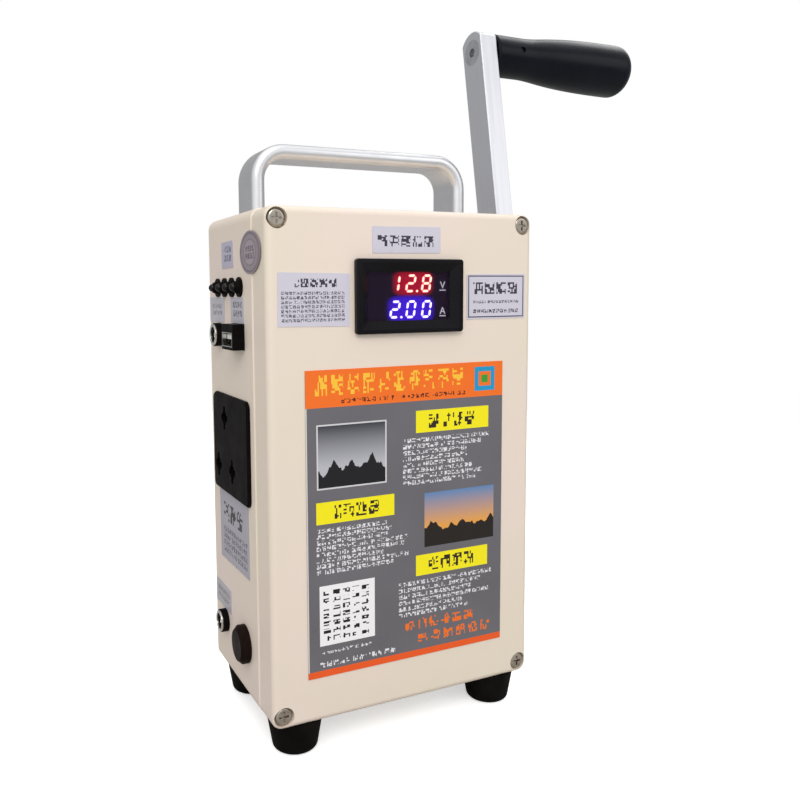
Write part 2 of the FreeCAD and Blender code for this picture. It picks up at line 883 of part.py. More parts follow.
def lamps():
    """Four 3 mm lamps with domed lenses."""
    pieces = []
    for y in lamp_places():
        dome_x = -side_x - lamp_tip + lamp_r
        back_x = -side_x + lamp_back
        bullet = rod_x(y, lamp_z, lamp_r, dome_x, back_x)
        dome = Part.makeSphere(lamp_r, V(dome_x, y, lamp_z))
        rim = rod_x(y, lamp_z, lamp_rim_r, back_x, back_x + lamp_rim)
        legs = []
        for side in (-1, 1):
            legs.append(rod_x(y + side * lamp_r / 2, lamp_z, 0.3, back_x + lamp_rim, back_x + lamp_rim + 6))
        pieces.append(fuse_all([bullet, dome, rim] + legs))
    return pieces


def usb_shell_z():
    """Height of the middle of the USB shell."""
    return usb_z - usb_shell_drop


def usb_slot(grow, x0, x1):
    """Box of the USB shell's outline, grown by a gap."""
    half_w = usb_shell_width / 2 + grow
    half_h = usb_shell_height / 2 + grow
    z = usb_shell_z()
    return block((x0, x1), (usb_y - half_w, usb_y + half_w), (z - half_h, z + half_h))


def usb_housing():
    """Black block that stands out of the wall around the USB shell."""
    front = -side_x - usb_proud
    back = -inner_x + usb_inside
    half_w = usb_width / 2
    half_h = usb_height / 2
    body = block((front, back), (usb_y - half_w, usb_y + half_w), (usb_z - half_h, usb_z + half_h))
    return body.cut(usb_slot(0.0, front - 1, front + usb_shell_depth))


def usb_shell():
    """Folded metal shell of the USB socket."""
    front = -side_x - usb_proud - usb_shell_proud
    back = -side_x - usb_proud + usb_shell_depth
    return usb_slot(0.0, front, back).cut(usb_slot(-usb_shell_wall, front - 1, back - usb_shell_wall))


def usb_tongue():
    """Plastic tongue that carries the contacts."""
    front = -side_x - usb_proud + usb_tongue_set_back
    back = -side_x - usb_proud + usb_shell_depth - usb_shell_wall
    top = usb_shell_z() + usb_shell_height / 2 - usb_shell_wall - 0.7
    half_w = usb_tongue_width / 2
    return block((front, back), (usb_y - half_w, usb_y + half_w), (top - usb_tongue_height, top))


def jack_bodies():
    """Black bodies of the two DC jacks, with their thread through the wall."""
    bodies = []
    front = -side_x - jack_proud + jack_ring
    for z in jack_places:
        collar = rod_x(jack_y, z, jack_r, front, -side_x)
        thread = rod_x(jack_y, z, jack_thread_r, -side_x, -inner_x + jack_inside)
        bore = rod_x(jack_y, z, jack_bore_r, front - 1, front + jack_bore_depth)
        bodies.append(collar.fuse(thread).cut(bore))
    return bodies


def jack_rings():
    """Bright metal rings on the faces of the DC jacks."""
    rings = []
    front = -side_x - jack_proud
    for z in jack_places:
        ring = ring_x(jack_y, z, jack_ring_r, jack_ring_bore_r, front, front + jack_ring)
        rings.append(ring.makeFillet(jack_ring / 3, edges_in_plane(ring, V(1, 0, 0), front)))
    return rings


def jack_pins():
    """Centre pins of the DC jacks."""
    pins = []
    front = -side_x - jack_proud + jack_pin_set_back
    back = -side_x - jack_proud + jack_ring + jack_bore_depth
    for z in jack_places:
        pins.append(rod_x(jack_y, z, jack_pin_r, front, back))
    return pins


def jack_nuts():
    """Hexagon nuts that hold the DC jacks from inside."""
    nuts = []
    for z in jack_places:
        nut = hex_x(jack_y, z, jack_nut_r * math.sqrt(3), -inner_x, -inner_x + jack_nut)
        nuts.append(nut.cut(rod_x(jack_y, z, jack_thread_r, -side_x, 0)))
    return nuts


def slot_places():
    """Y and Z of the line, neutral and earth openings of the mains socket."""
    mid = socket_y + slot_shift
    low = socket_z - slot_drop
    return [(mid - slot_spread, low), (mid + slot_spread, low), (mid, socket_z + slot_rise)]


def slot_shape(y, z, x0, x1):
    """Opening that takes a flat blade upright, a flat blade lying, or a round pin."""
    half_l = slot_long / 2
    half_a = slot_across / 2
    half_n = slot_narrow / 2
    upright = block((x0, x1), (y - half_n, y + half_n), (z - half_l, z + half_l))
    lying = block((x0, x1), (y - half_a, y + half_a), (z - half_n, z + half_n))
    return fuse_all([upright, lying, rod_x(y, z, slot_round_r, x0, x1)])


def socket_face():
    """Flanged front half of the mains socket, with its three openings."""
    front = -side_x - socket_flange
    flange = slab_x(socket_width, socket_height, socket_corner_r, front, -side_x, socket_y, socket_z)
    flange = flange.makeChamfer(socket_bevel, edges_in_plane(flange, V(1, 0, 0), front))
    back = -side_x + socket_front_depth
    half_w = socket_body_width / 2
    half_h = socket_body_height / 2
    y_span = (socket_y - half_w, socket_y + half_w)
    body = block((-side_x, back), y_span, (socket_z - half_h, socket_z + half_h))
    cuts = [slot_shape(y, z, front - 1, back + 1) for y, z in slot_places()]
    return flange.fuse(body).cut(cuts)


def contact_room(y, z, grow):
    """Box that one brass contact fills in the back of the socket."""
    x0 = -side_x + socket_front_depth
    half_w = contact_width / 2 + grow
    half_h = contact_height / 2 + grow
    return block((x0, x0 + contact_depth), (y - half_w, y + half_w), (z - half_h, z + half_h))


def socket_back():
    """Rear half of the mains socket, which holds the contacts."""
    x0 = -side_x + socket_front_depth
    half_w = socket_body_width / 2
    half_h = socket_body_height / 2
    y_span = (socket_y - half_w, socket_y + half_w)
    z_span = (socket_z - half_h, socket_z + half_h)
    body = block((x0, x0 + socket_back_depth), y_span, z_span)
    return body.cut([contact_room(y, z, running_gap) for y, z in slot_places()])


def socket_contacts():
    """Brass spring contacts behind the three openings."""
    contacts = []
    for y, z in slot_places():
        x0 = -side_x + socket_front_depth
        half_w = contact_width / 2 - contact_metal
        half_h = contact_height / 2
        x_span = (x0 - 1, x0 + contact_depth - contact_metal)
        room = block(x_span, (y - half_w, y + half_w), (z - half_h - 1, z + half_h + 1))
        contacts.append(contact_room(y, z, 0.0).cut(room))
    return contacts


# ---------------------------------------------------------------- push button
def button_floor_x():
    """X of the floor inside the button's barrel."""
    return -side_x - button_tip + button_cap + spring_length()


def spring_length():
    """Length of the button's spring at rest."""
    return button_stem - button_travel - button_floor


def button_bezel_piece():
    """Round bezel with a threaded barrel and a floor that carries the spring."""
    front = -side_x - button_bezel
    end = -side_x + button_back
    ring = rod_x(button_y, button_z, button_bezel_r, front, -side_x)
    ring = ring.makeChamfer(button_bezel_bevel, edges_in_plane(ring, V(1, 0, 0), front))
    barrel = rod_x(button_y, button_z, button_barrel_r, -side_x, end)
    floor = button_floor_x()
    front_bore = rod_x(button_y, button_z, button_bore_r + sliding_gap, front - 1, floor)
    rear_bore = rod_x(button_y, button_z, button_bore_r, floor + button_floor, end + 1)
    stem_hole = rod_x(button_y, button_z, button_stem_r + sliding_gap, front - 1, end + 1)
    return ring.fuse(barrel).cut([front_bore, rear_bore, stem_hole])


def button_nut_piece():
    """Ring nut of the button, inside the wall."""
    return ring_x(button_y, button_z, button_nut_r, button_barrel_r, -inner_x, -inner_x + button_nut)


def button_plunger():
    """Cap that is pressed, with the stem that works the switch."""
    tip = -side_x - button_tip
    back = tip + button_cap
    cap = rod_x(button_y, button_z, button_bore_r, tip, back)
    cap = cap.makeFillet(button_edge_r, edges_in_plane(cap, V(1, 0, 0), tip))
    return cap.fuse(rod_x(button_y, button_z, button_stem_r, back, back + button_stem))


def button_spring():
    """Coil spring between the cap and the floor of the barrel."""
    length = spring_length()
    start = -side_x - button_tip + button_cap
    run = length - 2 * spring_wire_r - 2 * running_gap
    path = Part.makeLongHelix(run / spring_turns, run, spring_r)
    wire = Part.Wire(path.Edges)
    begin = wire.Edges[0].valueAt(wire.Edges[0].FirstParameter)
    way = wire.Edges[0].tangentAt(wire.Edges[0].FirstParameter)
    section = Part.Wire(Part.Circle(begin, way, spring_wire_r).toShape())
    coil = wire.makePipeShell([section], True, True)
    coil.rotate(V(0, 0, 0), V(0, 1, 0), 90)
    coil.translate(V(start + spring_wire_r + running_gap, button_y, button_z))
    return coil


def button_switch():
    """Switch block that closes the back of the barrel."""
    x0 = -side_x + button_back
    x1 = x0 + switch_depth
    half = switch_side / 2
    body = block((x0, x1), (button_y - half, button_y + half), (button_z - half, button_z + half))
    pieces = [body, rod_x(button_y, button_z, button_barrel_r, x0, x0 + switch_cap)]
    for side in (-1, 1):
        y = button_y + side * half / 2
        leg = block((x1, x1 + switch_leg), (y - 1, y + 1), (button_z - 0.4, button_z + 0.4))
        pieces.append(leg)
    return fuse_all(pieces)


# ---------------------------------------------------------------- gears
def involute(angle):
    """Involute function of a pressure angle in radians."""
    return math.tan(angle) - angle


def gear_profile(teeth, y, z, x, phase):
    """Closed outline of a spur gear in the plane at x; a tooth's middle points at phase degrees."""
    pressure = math.radians(pressure_angle)
    pitch_r = gear_module * teeth / 2
    base_r = pitch_r * math.cos(pressure)
    tip_r = pitch_r + gear_module
    root_r = pitch_r - 1.25 * gear_module
    half_tooth = math.pi / (2 * teeth) - gear_backlash / (4 * pitch_r)
    start_r = max(base_r, root_r)

    def point(r, a):
        return V(x, y + r * math.cos(a), z + r * math.sin(a))

    def half_angle(r):
        return half_tooth + involute(pressure) - involute(math.acos(min(1.0, base_r / r)))

    steps = 5
    radii = [start_r + (tip_r - start_r) * k / steps for k in range(steps + 1)]
    edges = []
    for tooth in range(teeth):
        middle = math.radians(phase) + 2 * math.pi * tooth / teeth
        after = middle + 2 * math.pi / teeth
        rising = [point(r, middle - half_angle(r)) for r in radii]
        falling = [point(r, middle + half_angle(r)) for r in reversed(radii)]
        root_start = point(root_r, middle - half_angle(start_r))
        root_end = point(root_r, middle + half_angle(start_r))
        next_root = point(root_r, after - half_angle(start_r))
        if start_r > root_r + 1e-6:
            edges.append(Part.LineSegment(root_start, rising[0]).toShape())
        edges.append(flank(rising))
        edges.append(Part.Arc(rising[-1], point(tip_r, middle), falling[0]).toShape())
        edges.append(flank(falling))
        if start_r > root_r + 1e-6:
            edges.append(Part.LineSegment(falling[-1], root_end).toShape())
        edges.append(Part.Arc(root_end, point(root_r, (middle + after) / 2), next_root).toShape())
    return Part.Wire(edges)


def flank(points):
    """Smooth curve through the points of one side of a tooth."""
    curve = Part.BSplineCurve()
    curve.interpolate(points)
    return curve.toShape()


def spur_gear(teeth, y, z, x0, x1, phase):
    """Spur gear without a bore, between x0 and x1."""
    face = Part.Face(gear_profile(teeth, y, z, x0, phase))
    return face.extrude(V(x1 - x0, 0, 0))


def lightening_holes(z, x0, x1):
    """Round holes through the web of a big gear."""
    holes = []
    for k in range(lightening_count):
        a = 2 * math.pi * k / lightening_count
        y = lightening_circle_r * math.cos(a)
        holes.append(rod_x(y, z + lightening_circle_r * math.sin(a), lightening_r, x0 - 1, x1 + 1))
    return holes


def crank_gear():
    """Big gear on the crank shaft, with hubs towards both bearings."""
    x0 = crank_gear_x
    x1 = x0 + crank_gear_width
    gear = spur_gear(big_teeth, 0, pivot_z, x0, x1, -90.0)
    hub = rod_x(0, pivot_z, hub_r, x0 - hub_step, x1 + hub_step)
    return gear.fuse(hub).cut([rod_x(0, pivot_z, shaft_r, 0, side_x)] + lightening_holes(pivot_z, x0, x1))


def idler_gear():
    """Big gear and small pinion in one piece, turning on the idler pin."""
    x0 = idler_gear_x
    x1 = x0 + idler_gear_width
    end = outer_plate_x - plate_thickness - gear_end_gap
    gear = spur_gear(big_teeth, 0, idler_z, x0, x1, -90.0)
    pinion = spur_gear(small_teeth, 0, idler_z, x1, end, 90.0 + 180.0 / small_teeth)
    hub = rod_x(0, idler_z, hub_r, inner_plate_x + gear_end_gap, x0)
    bore = rod_x(0, idler_z, idler_pin_r + running_gap, inner_plate_x - 5, side_x)
    return fuse_all([gear, pinion, hub]).cut([bore] + lightening_holes(idler_z, x0, x1))


def idler_pin():
    """Steel pin held in both gear plates."""
    x0 = inner_plate_x - inner_plate_thickness - pin_overhang
    return rod_x(0, idler_z, idler_pin_r, x0, outer_plate_x + pin_overhang)


def gear_plate(x0, x1):
    """Flat plate with rounded corners, without holes."""
    low = rotor_z - plate_below_rotor
    high = pivot_z + plate_above_shaft
    return slab_x(2 * plate_half_depth, high - low, plate_corner_r, x0, x1, 0.0, (low + high) / 2)


def countersinks(x_face):
    """Countersunk holes of the generator screws, open towards +X at x_face."""
    cuts = []
    depth = generator_screw_head_r - generator_screw_r
    for y, z in generator_screw_places():
        cuts.append(cone_x(y, z, generator_screw_r, generator_screw_head_r, x_face - depth, x_face))
        cuts.append(rod_x(y, z, generator_screw_r + running_gap, x_face - 5, x_face))
    return cuts


def gear_plates():
    """Inner plate, which carries the generator, and outer plate, which sits on the wall's bosses."""
    inner = gear_plate(inner_plate_x - inner_plate_thickness, inner_plate_x)
    outer = gear_plate(outer_plate_x - plate_thickness, outer_plate_x)
    cuts = []
    for y, z in plate_screw_places():
        cuts.append(rod_x(y, z, long_screw_r + panel_gap, 0, side_x))
    cuts.append(rod_x(0, idler_z, idler_pin_r, 0, side_x))
    cuts.append(rod_x(0, pivot_z, bearing_r, 0, side_x))
    inner_cuts = cuts + countersinks(inner_plate_x)
    inner_cuts.append(rod_x(0, rotor_z, pilot_r + running_gap, 0, side_x))
    return [inner.cut(inner_cuts), outer.cut(cuts)]


def plate_spacers():
    """Four tubes that keep the gear plates apart."""
    spacers = []
    for y, z in plate_screw_places():
        end = outer_plate_x - plate_thickness
        spacers.append(ring_x(y, z, spacer_r, long_screw_r + panel_gap, inner_plate_x, end))
    return spacers


def plate_screws():
    """Four long socket screws from the inner plate into the wall's bosses."""
    screws = []
    seat = inner_plate_x - inner_plate_thickness
    for y, z in plate_screw_places():
        head = rod_x(y, z, long_head_r, seat - long_head, seat)
        shank = rod_x(y, z, long_screw_r, seat, inner_x + boss_bite)
        key = hex_x(y, z, 3.0, seat - long_head - 1, seat - long_head / 2)
        screws.append(head.fuse(shank).cut(key))
    return screws


def shaft_bearings():
    """Two ball bearings of the crank shaft, one in each gear plate."""
    bearings = []
    middles = (inner_plate_x - inner_plate_thickness / 2, outer_plate_x - plate_thickness / 2)
    for middle in middles:
        x0 = middle - bearing_width / 2
        x1 = middle + bearing_width / 2
        body = ring_x(0, pivot_z, bearing_r, shaft_r + running_gap, x0, x1)
        race = (bearing_r + shaft_r) / 2
        grooves = []
        for start in (x0 - 0.5, x1 - 0.5):
            grooves.append(ring_x(0, pivot_z, race + 1.2, race - 1.2, start, start + 1))
        bearings.append(body.cut(grooves))
    return bearings


def shaft_bush():
    """Flanged bush that guides the crank shaft through the right wall."""
    flange = rod_x(0, pivot_z, bush_flange_r, side_x, side_x + bush_flange)
    rim = edges_in_plane(flange, V(1, 0, 0), side_x + bush_flange)
    flange = flange.makeFillet(bush_flange / 3, rim)
    sleeve = rod_x(0, pivot_z, bush_r, inner_x - bush_inside, side_x)
    bore = rod_x(0, pivot_z, shaft_r + running_gap, inner_x - 5, side_x + 5)
    return flange.fuse(sleeve).cut(bore)


# ---------------------------------------------------------------- crank
def crank_shaft():
    """Steel shaft from the inner plate out to the arm, with a square end."""
    start = inner_plate_x - inner_plate_thickness - pin_overhang
    body = rod_x(0, pivot_z, shaft_r, start, arm_x)
    half = square_drive / 2
    square = block((arm_x, arm_outer_x - side_gap), (-half, half), (pivot_z - half, pivot_z + half))
    square = square.rotated(V(0, 0, pivot_z), V(1, 0, 0), -arm_lean)
    thread = rod_x(0, pivot_z, arm_screw_r, arm_outer_x - arm_screw_depth, arm_outer_x + 1)
    return body.fuse(square).cut(thread)


def crank_spacer():
    """Sleeve on the shaft between the bush and the arm."""
    start = side_x + bush_flange + side_gap
    return ring_x(0, pivot_z, spacer_sleeve_r, shaft_r, start, arm_x)


def upright_arm():
    """Crank arm as if it stood straight up from the pivot."""
    half = arm_width / 2
    bolt_z = pivot_z + arm_length
    bar = block((arm_x, arm_outer_x), (-half, half), (pivot_z, bolt_z))
    tip = block((arm_x, arm_outer_x), (-half, half), (bolt_z, bolt_z + arm_end_r + 1))
    tip = tip.common(rod_x(0, bolt_z, arm_end_r, arm_x, arm_outer_x))
    bar = bar.fuse([tip, rod_x(0, pivot_z, half, arm_x, arm_outer_x)]).removeSplitter()
    rims = edges_in_plane(bar, V(1, 0, 0), arm_x) + edges_in_plane(bar, V(1, 0, 0), arm_outer_x)
    bar = bar.makeChamfer(arm_edge, rims)
    drive = square_drive / 2
    square = block((arm_x - 1, arm_outer_x + 1), (-drive, drive), (pivot_z - drive, pivot_z + drive))
    sink = cone_x(0, bolt_z, spindle_head_r, spindle_r, arm_x, arm_x + spindle_head_r - spindle_r)
    return bar.cut([square, sink, rod_x(0, bolt_z, spindle_r, arm_x, arm_outer_x + 1)])


def crank_arm():
    """Flat aluminium arm, leaning back at rest."""
    return upright_arm().rotated(V(0, 0, pivot_z), V(1, 0, 0), -arm_lean)


def arm_screw():
    """Washer and button head screw that hold the arm on the shaft."""
    face = arm_outer_x + arm_washer
    washer = ring_x(0, pivot_z, arm_washer_r, arm_screw_r, arm_outer_x, face)
    head = rod_x(0, pivot_z, arm_head_r, face, face + arm_head)
    head = head.makeFillet(arm_head * 0.6, edges_in_plane(head, V(1, 0, 0), face + arm_head))
    shank = rod_x(0, pivot_z, arm_screw_r, arm_outer_x - arm_screw_depth + 1, face)
    key = hex_x(0, pivot_z, 3.0, face + arm_head - 1.6, face + arm_head + 1)
    return [washer, head.fuse(shank).cut(key)]


def grip_spindle():
    """Countersunk socket bolt through the arm, on which the grip turns."""
    depth = spindle_head_r - spindle_r
    head = cone_x(grip_y, grip_z, spindle_head_r, spindle_r, arm_x, arm_x + depth)
    shank = rod_x(grip_y, grip_z, spindle_r, arm_x + depth, grip_x + spindle_depth)
    groove_x = grip_x + spindle_groove_at - spindle_groove / 2
    groove = ring_x(grip_y, grip_z, spindle_r + 1, spindle_groove_r, groove_x, groove_x + spindle_groove)
    key = hex_x(grip_y, grip_z, hex_socket, arm_x - 1, arm_x + hex_depth)
    return head.fuse(shank).cut([groove, key])


def bezier(points):
    """Smooth curve with the given control points."""
    curve = Part.BezierCurve()
    curve.setPoles(points)
    return curve.toShape()


def grip_outline():
    """Half outline of the grip, from its neck to its domed end."""
    end = grip_x + grip_length
    straight = end - grip_dome
    waist_x = grip_x + grip_waist_from
    start = V(grip_x, 0, 0)
    neck = V(grip_x, grip_neck_r - grip_edge, 0)
    shoulder = V(grip_x + grip_edge, grip_neck_r, 0)
    waist = V(waist_x, grip_neck_r, 0)
    waist_handle = V(waist_x + grip_waist_reach, grip_neck_r, 0)
    flare_handle = V(grip_x + grip_flare_at, grip_end_r, 0)
    wide = V(straight, grip_end_r, 0)
    tip = V(end, 0, 0)
    round_off = 0.5523
    wide_handle = V(straight + round_off * grip_dome, grip_end_r, 0)
    tip_handle = V(end, round_off * grip_end_r, 0)
    edges = [Part.LineSegment(start, neck).toShape(), Part.LineSegment(neck, shoulder).toShape()]
    edges.append(Part.LineSegment(shoulder, waist).toShape())
    edges.append(bezier([waist, waist_handle, flare_handle, wide]))
    edges.append(bezier([wide, wide_handle, tip_handle, tip]))
    edges.append(Part.LineSegment(tip, start).toShape())
    return Part.Wire(edges)


def grip_pin_hole(r0, r1):
    """Radial hole through the grip over the spindle's groove."""
    a = math.radians(grip_pin_angle)
    way = V(0, math.cos(a), math.sin(a))
    start = V(grip_x + spindle_groove_at, grip_y, grip_z) + way * r0
    return Part.makeCylinder(grip_pin_r, r1 - r0, start, way)


def hand_grip():
    """Revolving hand grip, closed at its outer end."""
    body = Part.Face(grip_outline()).revolve(V(0, 0, 0), V(1, 0, 0), 360)
    body.translate(V(0, grip_y, grip_z))
    bore_end = grip_x + spindle_depth + side_gap
    bore = rod_x(grip_y, grip_z, spindle_r + running_gap, grip_x - 1, bore_end)
    return body.cut([bore, grip_pin_hole(0.0, grip_end_r)])


def grip_set_screw():
    """Small screw in the grip whose tip runs in the spindle's groove."""
    return grip_pin_hole(grip_pin_tip_r, grip_neck_r - grip_pin_sink)


# ---------------------------------------------------------------- generator
def generator_screw_places():
    """Y and Z of the screws between the inner plate and the generator."""
    places = []
    for k in range(4):
        a = math.radians(45 + 90 * k)
        y = generator_screw_circle_r * math.cos(a)
        places.append((y, rotor_z + generator_screw_circle_r * math.sin(a)))
    return places


def generator_can():
    """Steel can with a pilot that centres it in the inner plate."""
    x0 = generator_back_x
    x1 = generator_front_x
    body = rod_x(0, rotor_z, generator_r, x0, x1)
    body = body.fuse(rod_x(0, rotor_z, pilot_r, x1, x1 + inner_plate_thickness))
    room = rod_x(0, rotor_z, generator_r - generator_wall, x0 - 1, x1 - generator_front)
    cuts = [room, rod_x(0, rotor_z, rotor_shaft_r + running_gap, x0 - 1, side_x)]
    for y, z in generator_screw_places():
        cuts.append(rod_x(y, z, generator_screw_r, x1 - generator_front - 1, x1 + 1))
    return body.cut(cuts)


def generator_cap():
    """End cap with the rear bearing of the rotor."""
    x0 = generator_back_x
    disc = rod_x(0, rotor_z, generator_r, x0 - generator_cap_thickness, x0)
    spigot = rod_x(0, rotor_z, generator_r - generator_wall - running_gap, x0, x0 + cap_spigot)
    boss = rod_x(0, rotor_z, pilot_r, x0 - generator_cap_thickness - 2, x0)
    bore = rod_x(0, rotor_z, rotor_shaft_r + running_gap, x0 - 10, x0 + 10)
    return fuse_all([disc, spigot, boss]).cut(bore)


def core_span():
    """X of the two ends of the stator core."""
    middle = (generator_back_x + generator_front_x - generator_front + cap_spigot) / 2
    return (middle - core_length / 2, middle + core_length / 2)


def core_slot(k, width, r0, r1, x0, x1):
    """Radial box in slot number k of the stator."""
    half = width / 2
    slot = block((x0, x1), (r0, r1), (rotor_z - half, rotor_z + half))
    return slot.rotated(V(0, 0, rotor_z), V(1, 0, 0), 360.0 * k / core_slots)


def stator_core():
    """Laminated ring with slots for the coils."""
    x0, x1 = core_span()
    inner_r = magnet_r + air_gap
    ring = ring_x(0, rotor_z, generator_r - generator_wall, inner_r, x0, x1)
    slots = []
    for k in range(core_slots):
        slots.append(core_slot(k, core_slot_width, 0, core_slot_r, x0 - 1, x1 + 1))
    return ring.cut(slots)


def stator_coils():
    """Copper coils that fill the slots and stand out at both ends."""
    x0, x1 = core_span()
    x_ends = (x0 - coil_overhang, x1 + coil_overhang)
    width = core_slot_width - coil_gap
    inner_r = magnet_r + air_gap + coil_gap
    return [core_slot(k, width, inner_r, core_slot_r, *x_ends) for k in range(core_slots)]


def rotor_shaft():
    """Thin steel shaft through the generator."""
    end = inner_plate_x + rotor_pinion_gap + rotor_pinion_width
    return rod_x(0, rotor_z, rotor_shaft_r, generator_back_x - generator_cap_thickness - 1, end)


def rotor_magnet():
    """Magnet ring on the rotor shaft."""
    x0, x1 = core_span()
    return ring_x(0, rotor_z, magnet_r, rotor_shaft_r, x0, x1)


def rotor_pinion():
    """Pinion at the end of the rotor shaft, in mesh with the idler gear."""
    x0 = inner_plate_x + rotor_pinion_gap
    x1 = x0 + rotor_pinion_width
    gear = spur_gear(small_teeth, 0, rotor_z, x0, x1, 90.0 + 180.0 / small_teeth)
    return gear.cut(rod_x(0, rotor_z, rotor_shaft_r, 0, side_x))


def generator_screws():
    """Countersunk screws that hold the generator on the inner plate."""
    screws = []
    neck = inner_plate_x - (generator_screw_head_r - generator_screw_r)
    tip = inner_plate_x - generator_screw_length
    for y, z in generator_screw_places():
        head = cone_x(y, z, generator_screw_r, generator_screw_head_r, neck, inner_plate_x)
        shank = rod_x(y, z, generator_screw_r, tip, neck)
        screws.append(head.fuse(shank))
    return screws


# ---------------------------------------------------------------- electronics
def circuit_boards():
    """Charge controller, inverter and USB boards."""
    y_span = (board_front_y, board_rear_y)
    low = case_bottom + controller_above_bottom[0]
    high = case_bottom + controller_above_bottom[1]
    controller = block(controller_x, y_span, (low, high))
    low = case_top - inverter_below_top[0]
    high = case_top - inverter_below_top[1]
    inverter = block(inverter_x, y_span, (low, high))
    back = -inner_x + usb_inside
    half_h = usb_board_height / 2
    usb_board = block((back, back + board_thickness), usb_board_y, (usb_z - half_h, usb_z + half_h))
    return [controller, inverter, usb_board]


def supercapacitors():
    """Energy store on the controller board."""
    cans = []
    middle_z = case_bottom + capacitor_above_bottom
    for column in range(capacitor_columns):
        for row in range(capacitor_rows):
            x = capacitor_x + (column - (capacitor_columns - 1) / 2) * capacitor_pitch
            z = middle_z + (row - (capacitor_rows - 1) / 2) * capacitor_pitch
            can = rod_y(x, z, capacitor_r, board_front_y - capacitor_length, board_front_y)
            rim = edges_in_plane(can, V(0, 1, 0), board_front_y - capacitor_length)
            cans.append(can.makeFillet(1.2, rim))
    return cans


def transformer():
    """Ferrite core and winding of the inverter, on its board."""
    z_low = case_top - transformer_below_top[0]
    z_high = case_top - transformer_below_top[1]
    y0 = board_front_y - transformer_depth
    core = block(transformer_x, (y0, board_front_y), (z_low, z_high))
    x_mid = (transformer_x[0] + transformer_x[1]) / 2
    z_mid = (z_low + z_high) / 2
    window = block((x_mid - 9, x_mid + 9), (y0 - 1, board_front_y + 1), (z_mid - 8, z_mid + 8))
    leg = block((x_mid - 3.5, x_mid + 3.5), (y0, board_front_y), (z_low, z_high))
    core = core.cut(window).fuse(leg).removeSplitter()
    winding = block((x_mid - 9, x_mid + 9), (y0 + 2, board_front_y - 1), (z_mid - 8, z_mid + 8))
    return [core, winding.cut(leg)]


# ---------------------------------------------------------------- labels
def above(place, span):
    """Lower and upper ends at those heights over a place."""
    return (place + span[0], place + span[1])


def below(place, span):
    """Lower and upper ends at those depths under a place."""
    return (place - span[0], place - span[1])


def front_sticker(x_span, z_span):
    """Thin rectangle on the front face."""
    return block(x_span, (front_y - label_thickness, front_y), z_span)


def side_sticker(y_span, z_span):
    """Thin rectangle on the left face."""
    return block((-side_x - label_thickness, -side_x), y_span, z_span)


def info_label():
    """Large label on the front."""
    return front_sticker(info_label_x, above(case_mid, info_label_above_mid))


def seal_sticker():
    """Oval sticker that crosses the seam on the left side."""
    z = case_top - seal_sticker_below_top
    start = V(-side_x - label_thickness, seal_sticker_y, z)
    oval = Part.Ellipse(V(0, 0, 0), seal_sticker_width / 2, seal_sticker_height / 2)
    disc = Part.Face(Part.Wire(oval.toShape())).extrude(V(0, 0, label_thickness))
    disc.rotate(V(0, 0, 0), V(0, 0, 1), 90)
    disc.rotate(V(0, 0, 0), V(0, 1, 0), 90)
    disc.translate(start)
    return disc


def small_labels():
    """Small stickers on the front and on the left side."""
    pieces = [front_sticker(meter_label_x, below(case_top, meter_label_below_top))]
    pieces.append(front_sticker(note_label_x, below(case_top, note_label_below_top)))
    pieces.append(front_sticker(formula_label_x, below(case_top, formula_label_below_top)))
    pieces.append(side_sticker(lamp_label_y, below(case_top, lamp_label_below_top)))
    pieces.append(side_sticker(jack_tag_y, below(case_top, jack_tag_below_top)))
    pieces.append(side_sticker(usb_tag_y, below(case_top, usb_tag_below_top)))
    pieces.append(side_sticker(mains_tag_y, above(case_mid, mains_tag_above_mid)))
    pieces.append(side_sticker(lower_tag_y, above(case_bottom, lower_tag_above_bottom)))
    return pieces + [seal_sticker()]


# ---------------------------------------------------------------- all nodes
nodes = {
    "front_cover": front_cover,
    "rear_housing": rear_housing,
    "cover_gasket": cover_gasket,
    "insert_nuts": insert_nuts,
    "cover_screws": cover_screws,
    "carry_handle": carry_handle,
    "handle_screws": handle_screws,
    "foot_screws": foot_screws,
    "foot_nuts": foot_nuts,
    "rubber_feet": rubber_feet,
    "meter_housing": meter_housing,
    "meter_window": meter_window,
    "meter_display": meter_display,
    "volt_digits": lambda: readout("12.8", volt_row),
    "amp_digits": lambda: readout("2.00", amp_row),
    "lamp_bezels": lamp_bezels,
    "lamps": lamps,
    "usb_housing": usb_housing,
    "usb_shell": usb_shell,
    "usb_tongue": usb_tongue,
    "jack_bodies": jack_bodies,
    "jack_rings": jack_rings,
    "jack_pins": jack_pins,
    "jack_nuts": jack_nuts,
    "socket_face": socket_face,
    "socket_back": socket_back,
    "socket_contacts": socket_contacts,
    "button_bezel": button_bezel_piece,
    "button_nut": button_nut_piece,
    "button_plunger": button_plunger,
    "button_spring": button_spring,
    "button_switch": button_switch,
    "crank_gear": crank_gear,
    "idler_gear": idler_gear,
    "idler_pin": idler_pin,
    "gear_plates": gear_plates,
    "plate_spacers": plate_spacers,
    "plate_screws": plate_screws,
    "shaft_bearings": shaft_bearings,
    "shaft_bush": shaft_bush,
    "crank_shaft": crank_shaft,
    "crank_spacer": crank_spacer,
    "crank_arm": crank_arm,
    "arm_screw": arm_screw,
    "grip_spindle": grip_spindle,
    "hand_grip": hand_grip,
    "grip_set_screw": grip_set_screw,
    "generator_can": generator_can,
    "generator_cap": generator_cap,
    "stator_core": stator_core,
    "stator_coils": stator_coils,
    "rotor_shaft": rotor_shaft,
    "rotor_magnet": rotor_magnet,
    "rotor_pinion": rotor_pinion,
    "generator_screws": generator_screws,
    "circuit_boards": circuit_boards,
    "supercapacitors": supercapacitors,
    "transformer": transformer,
    "info_label": info_label,
    "small_labels": small_labels,
}


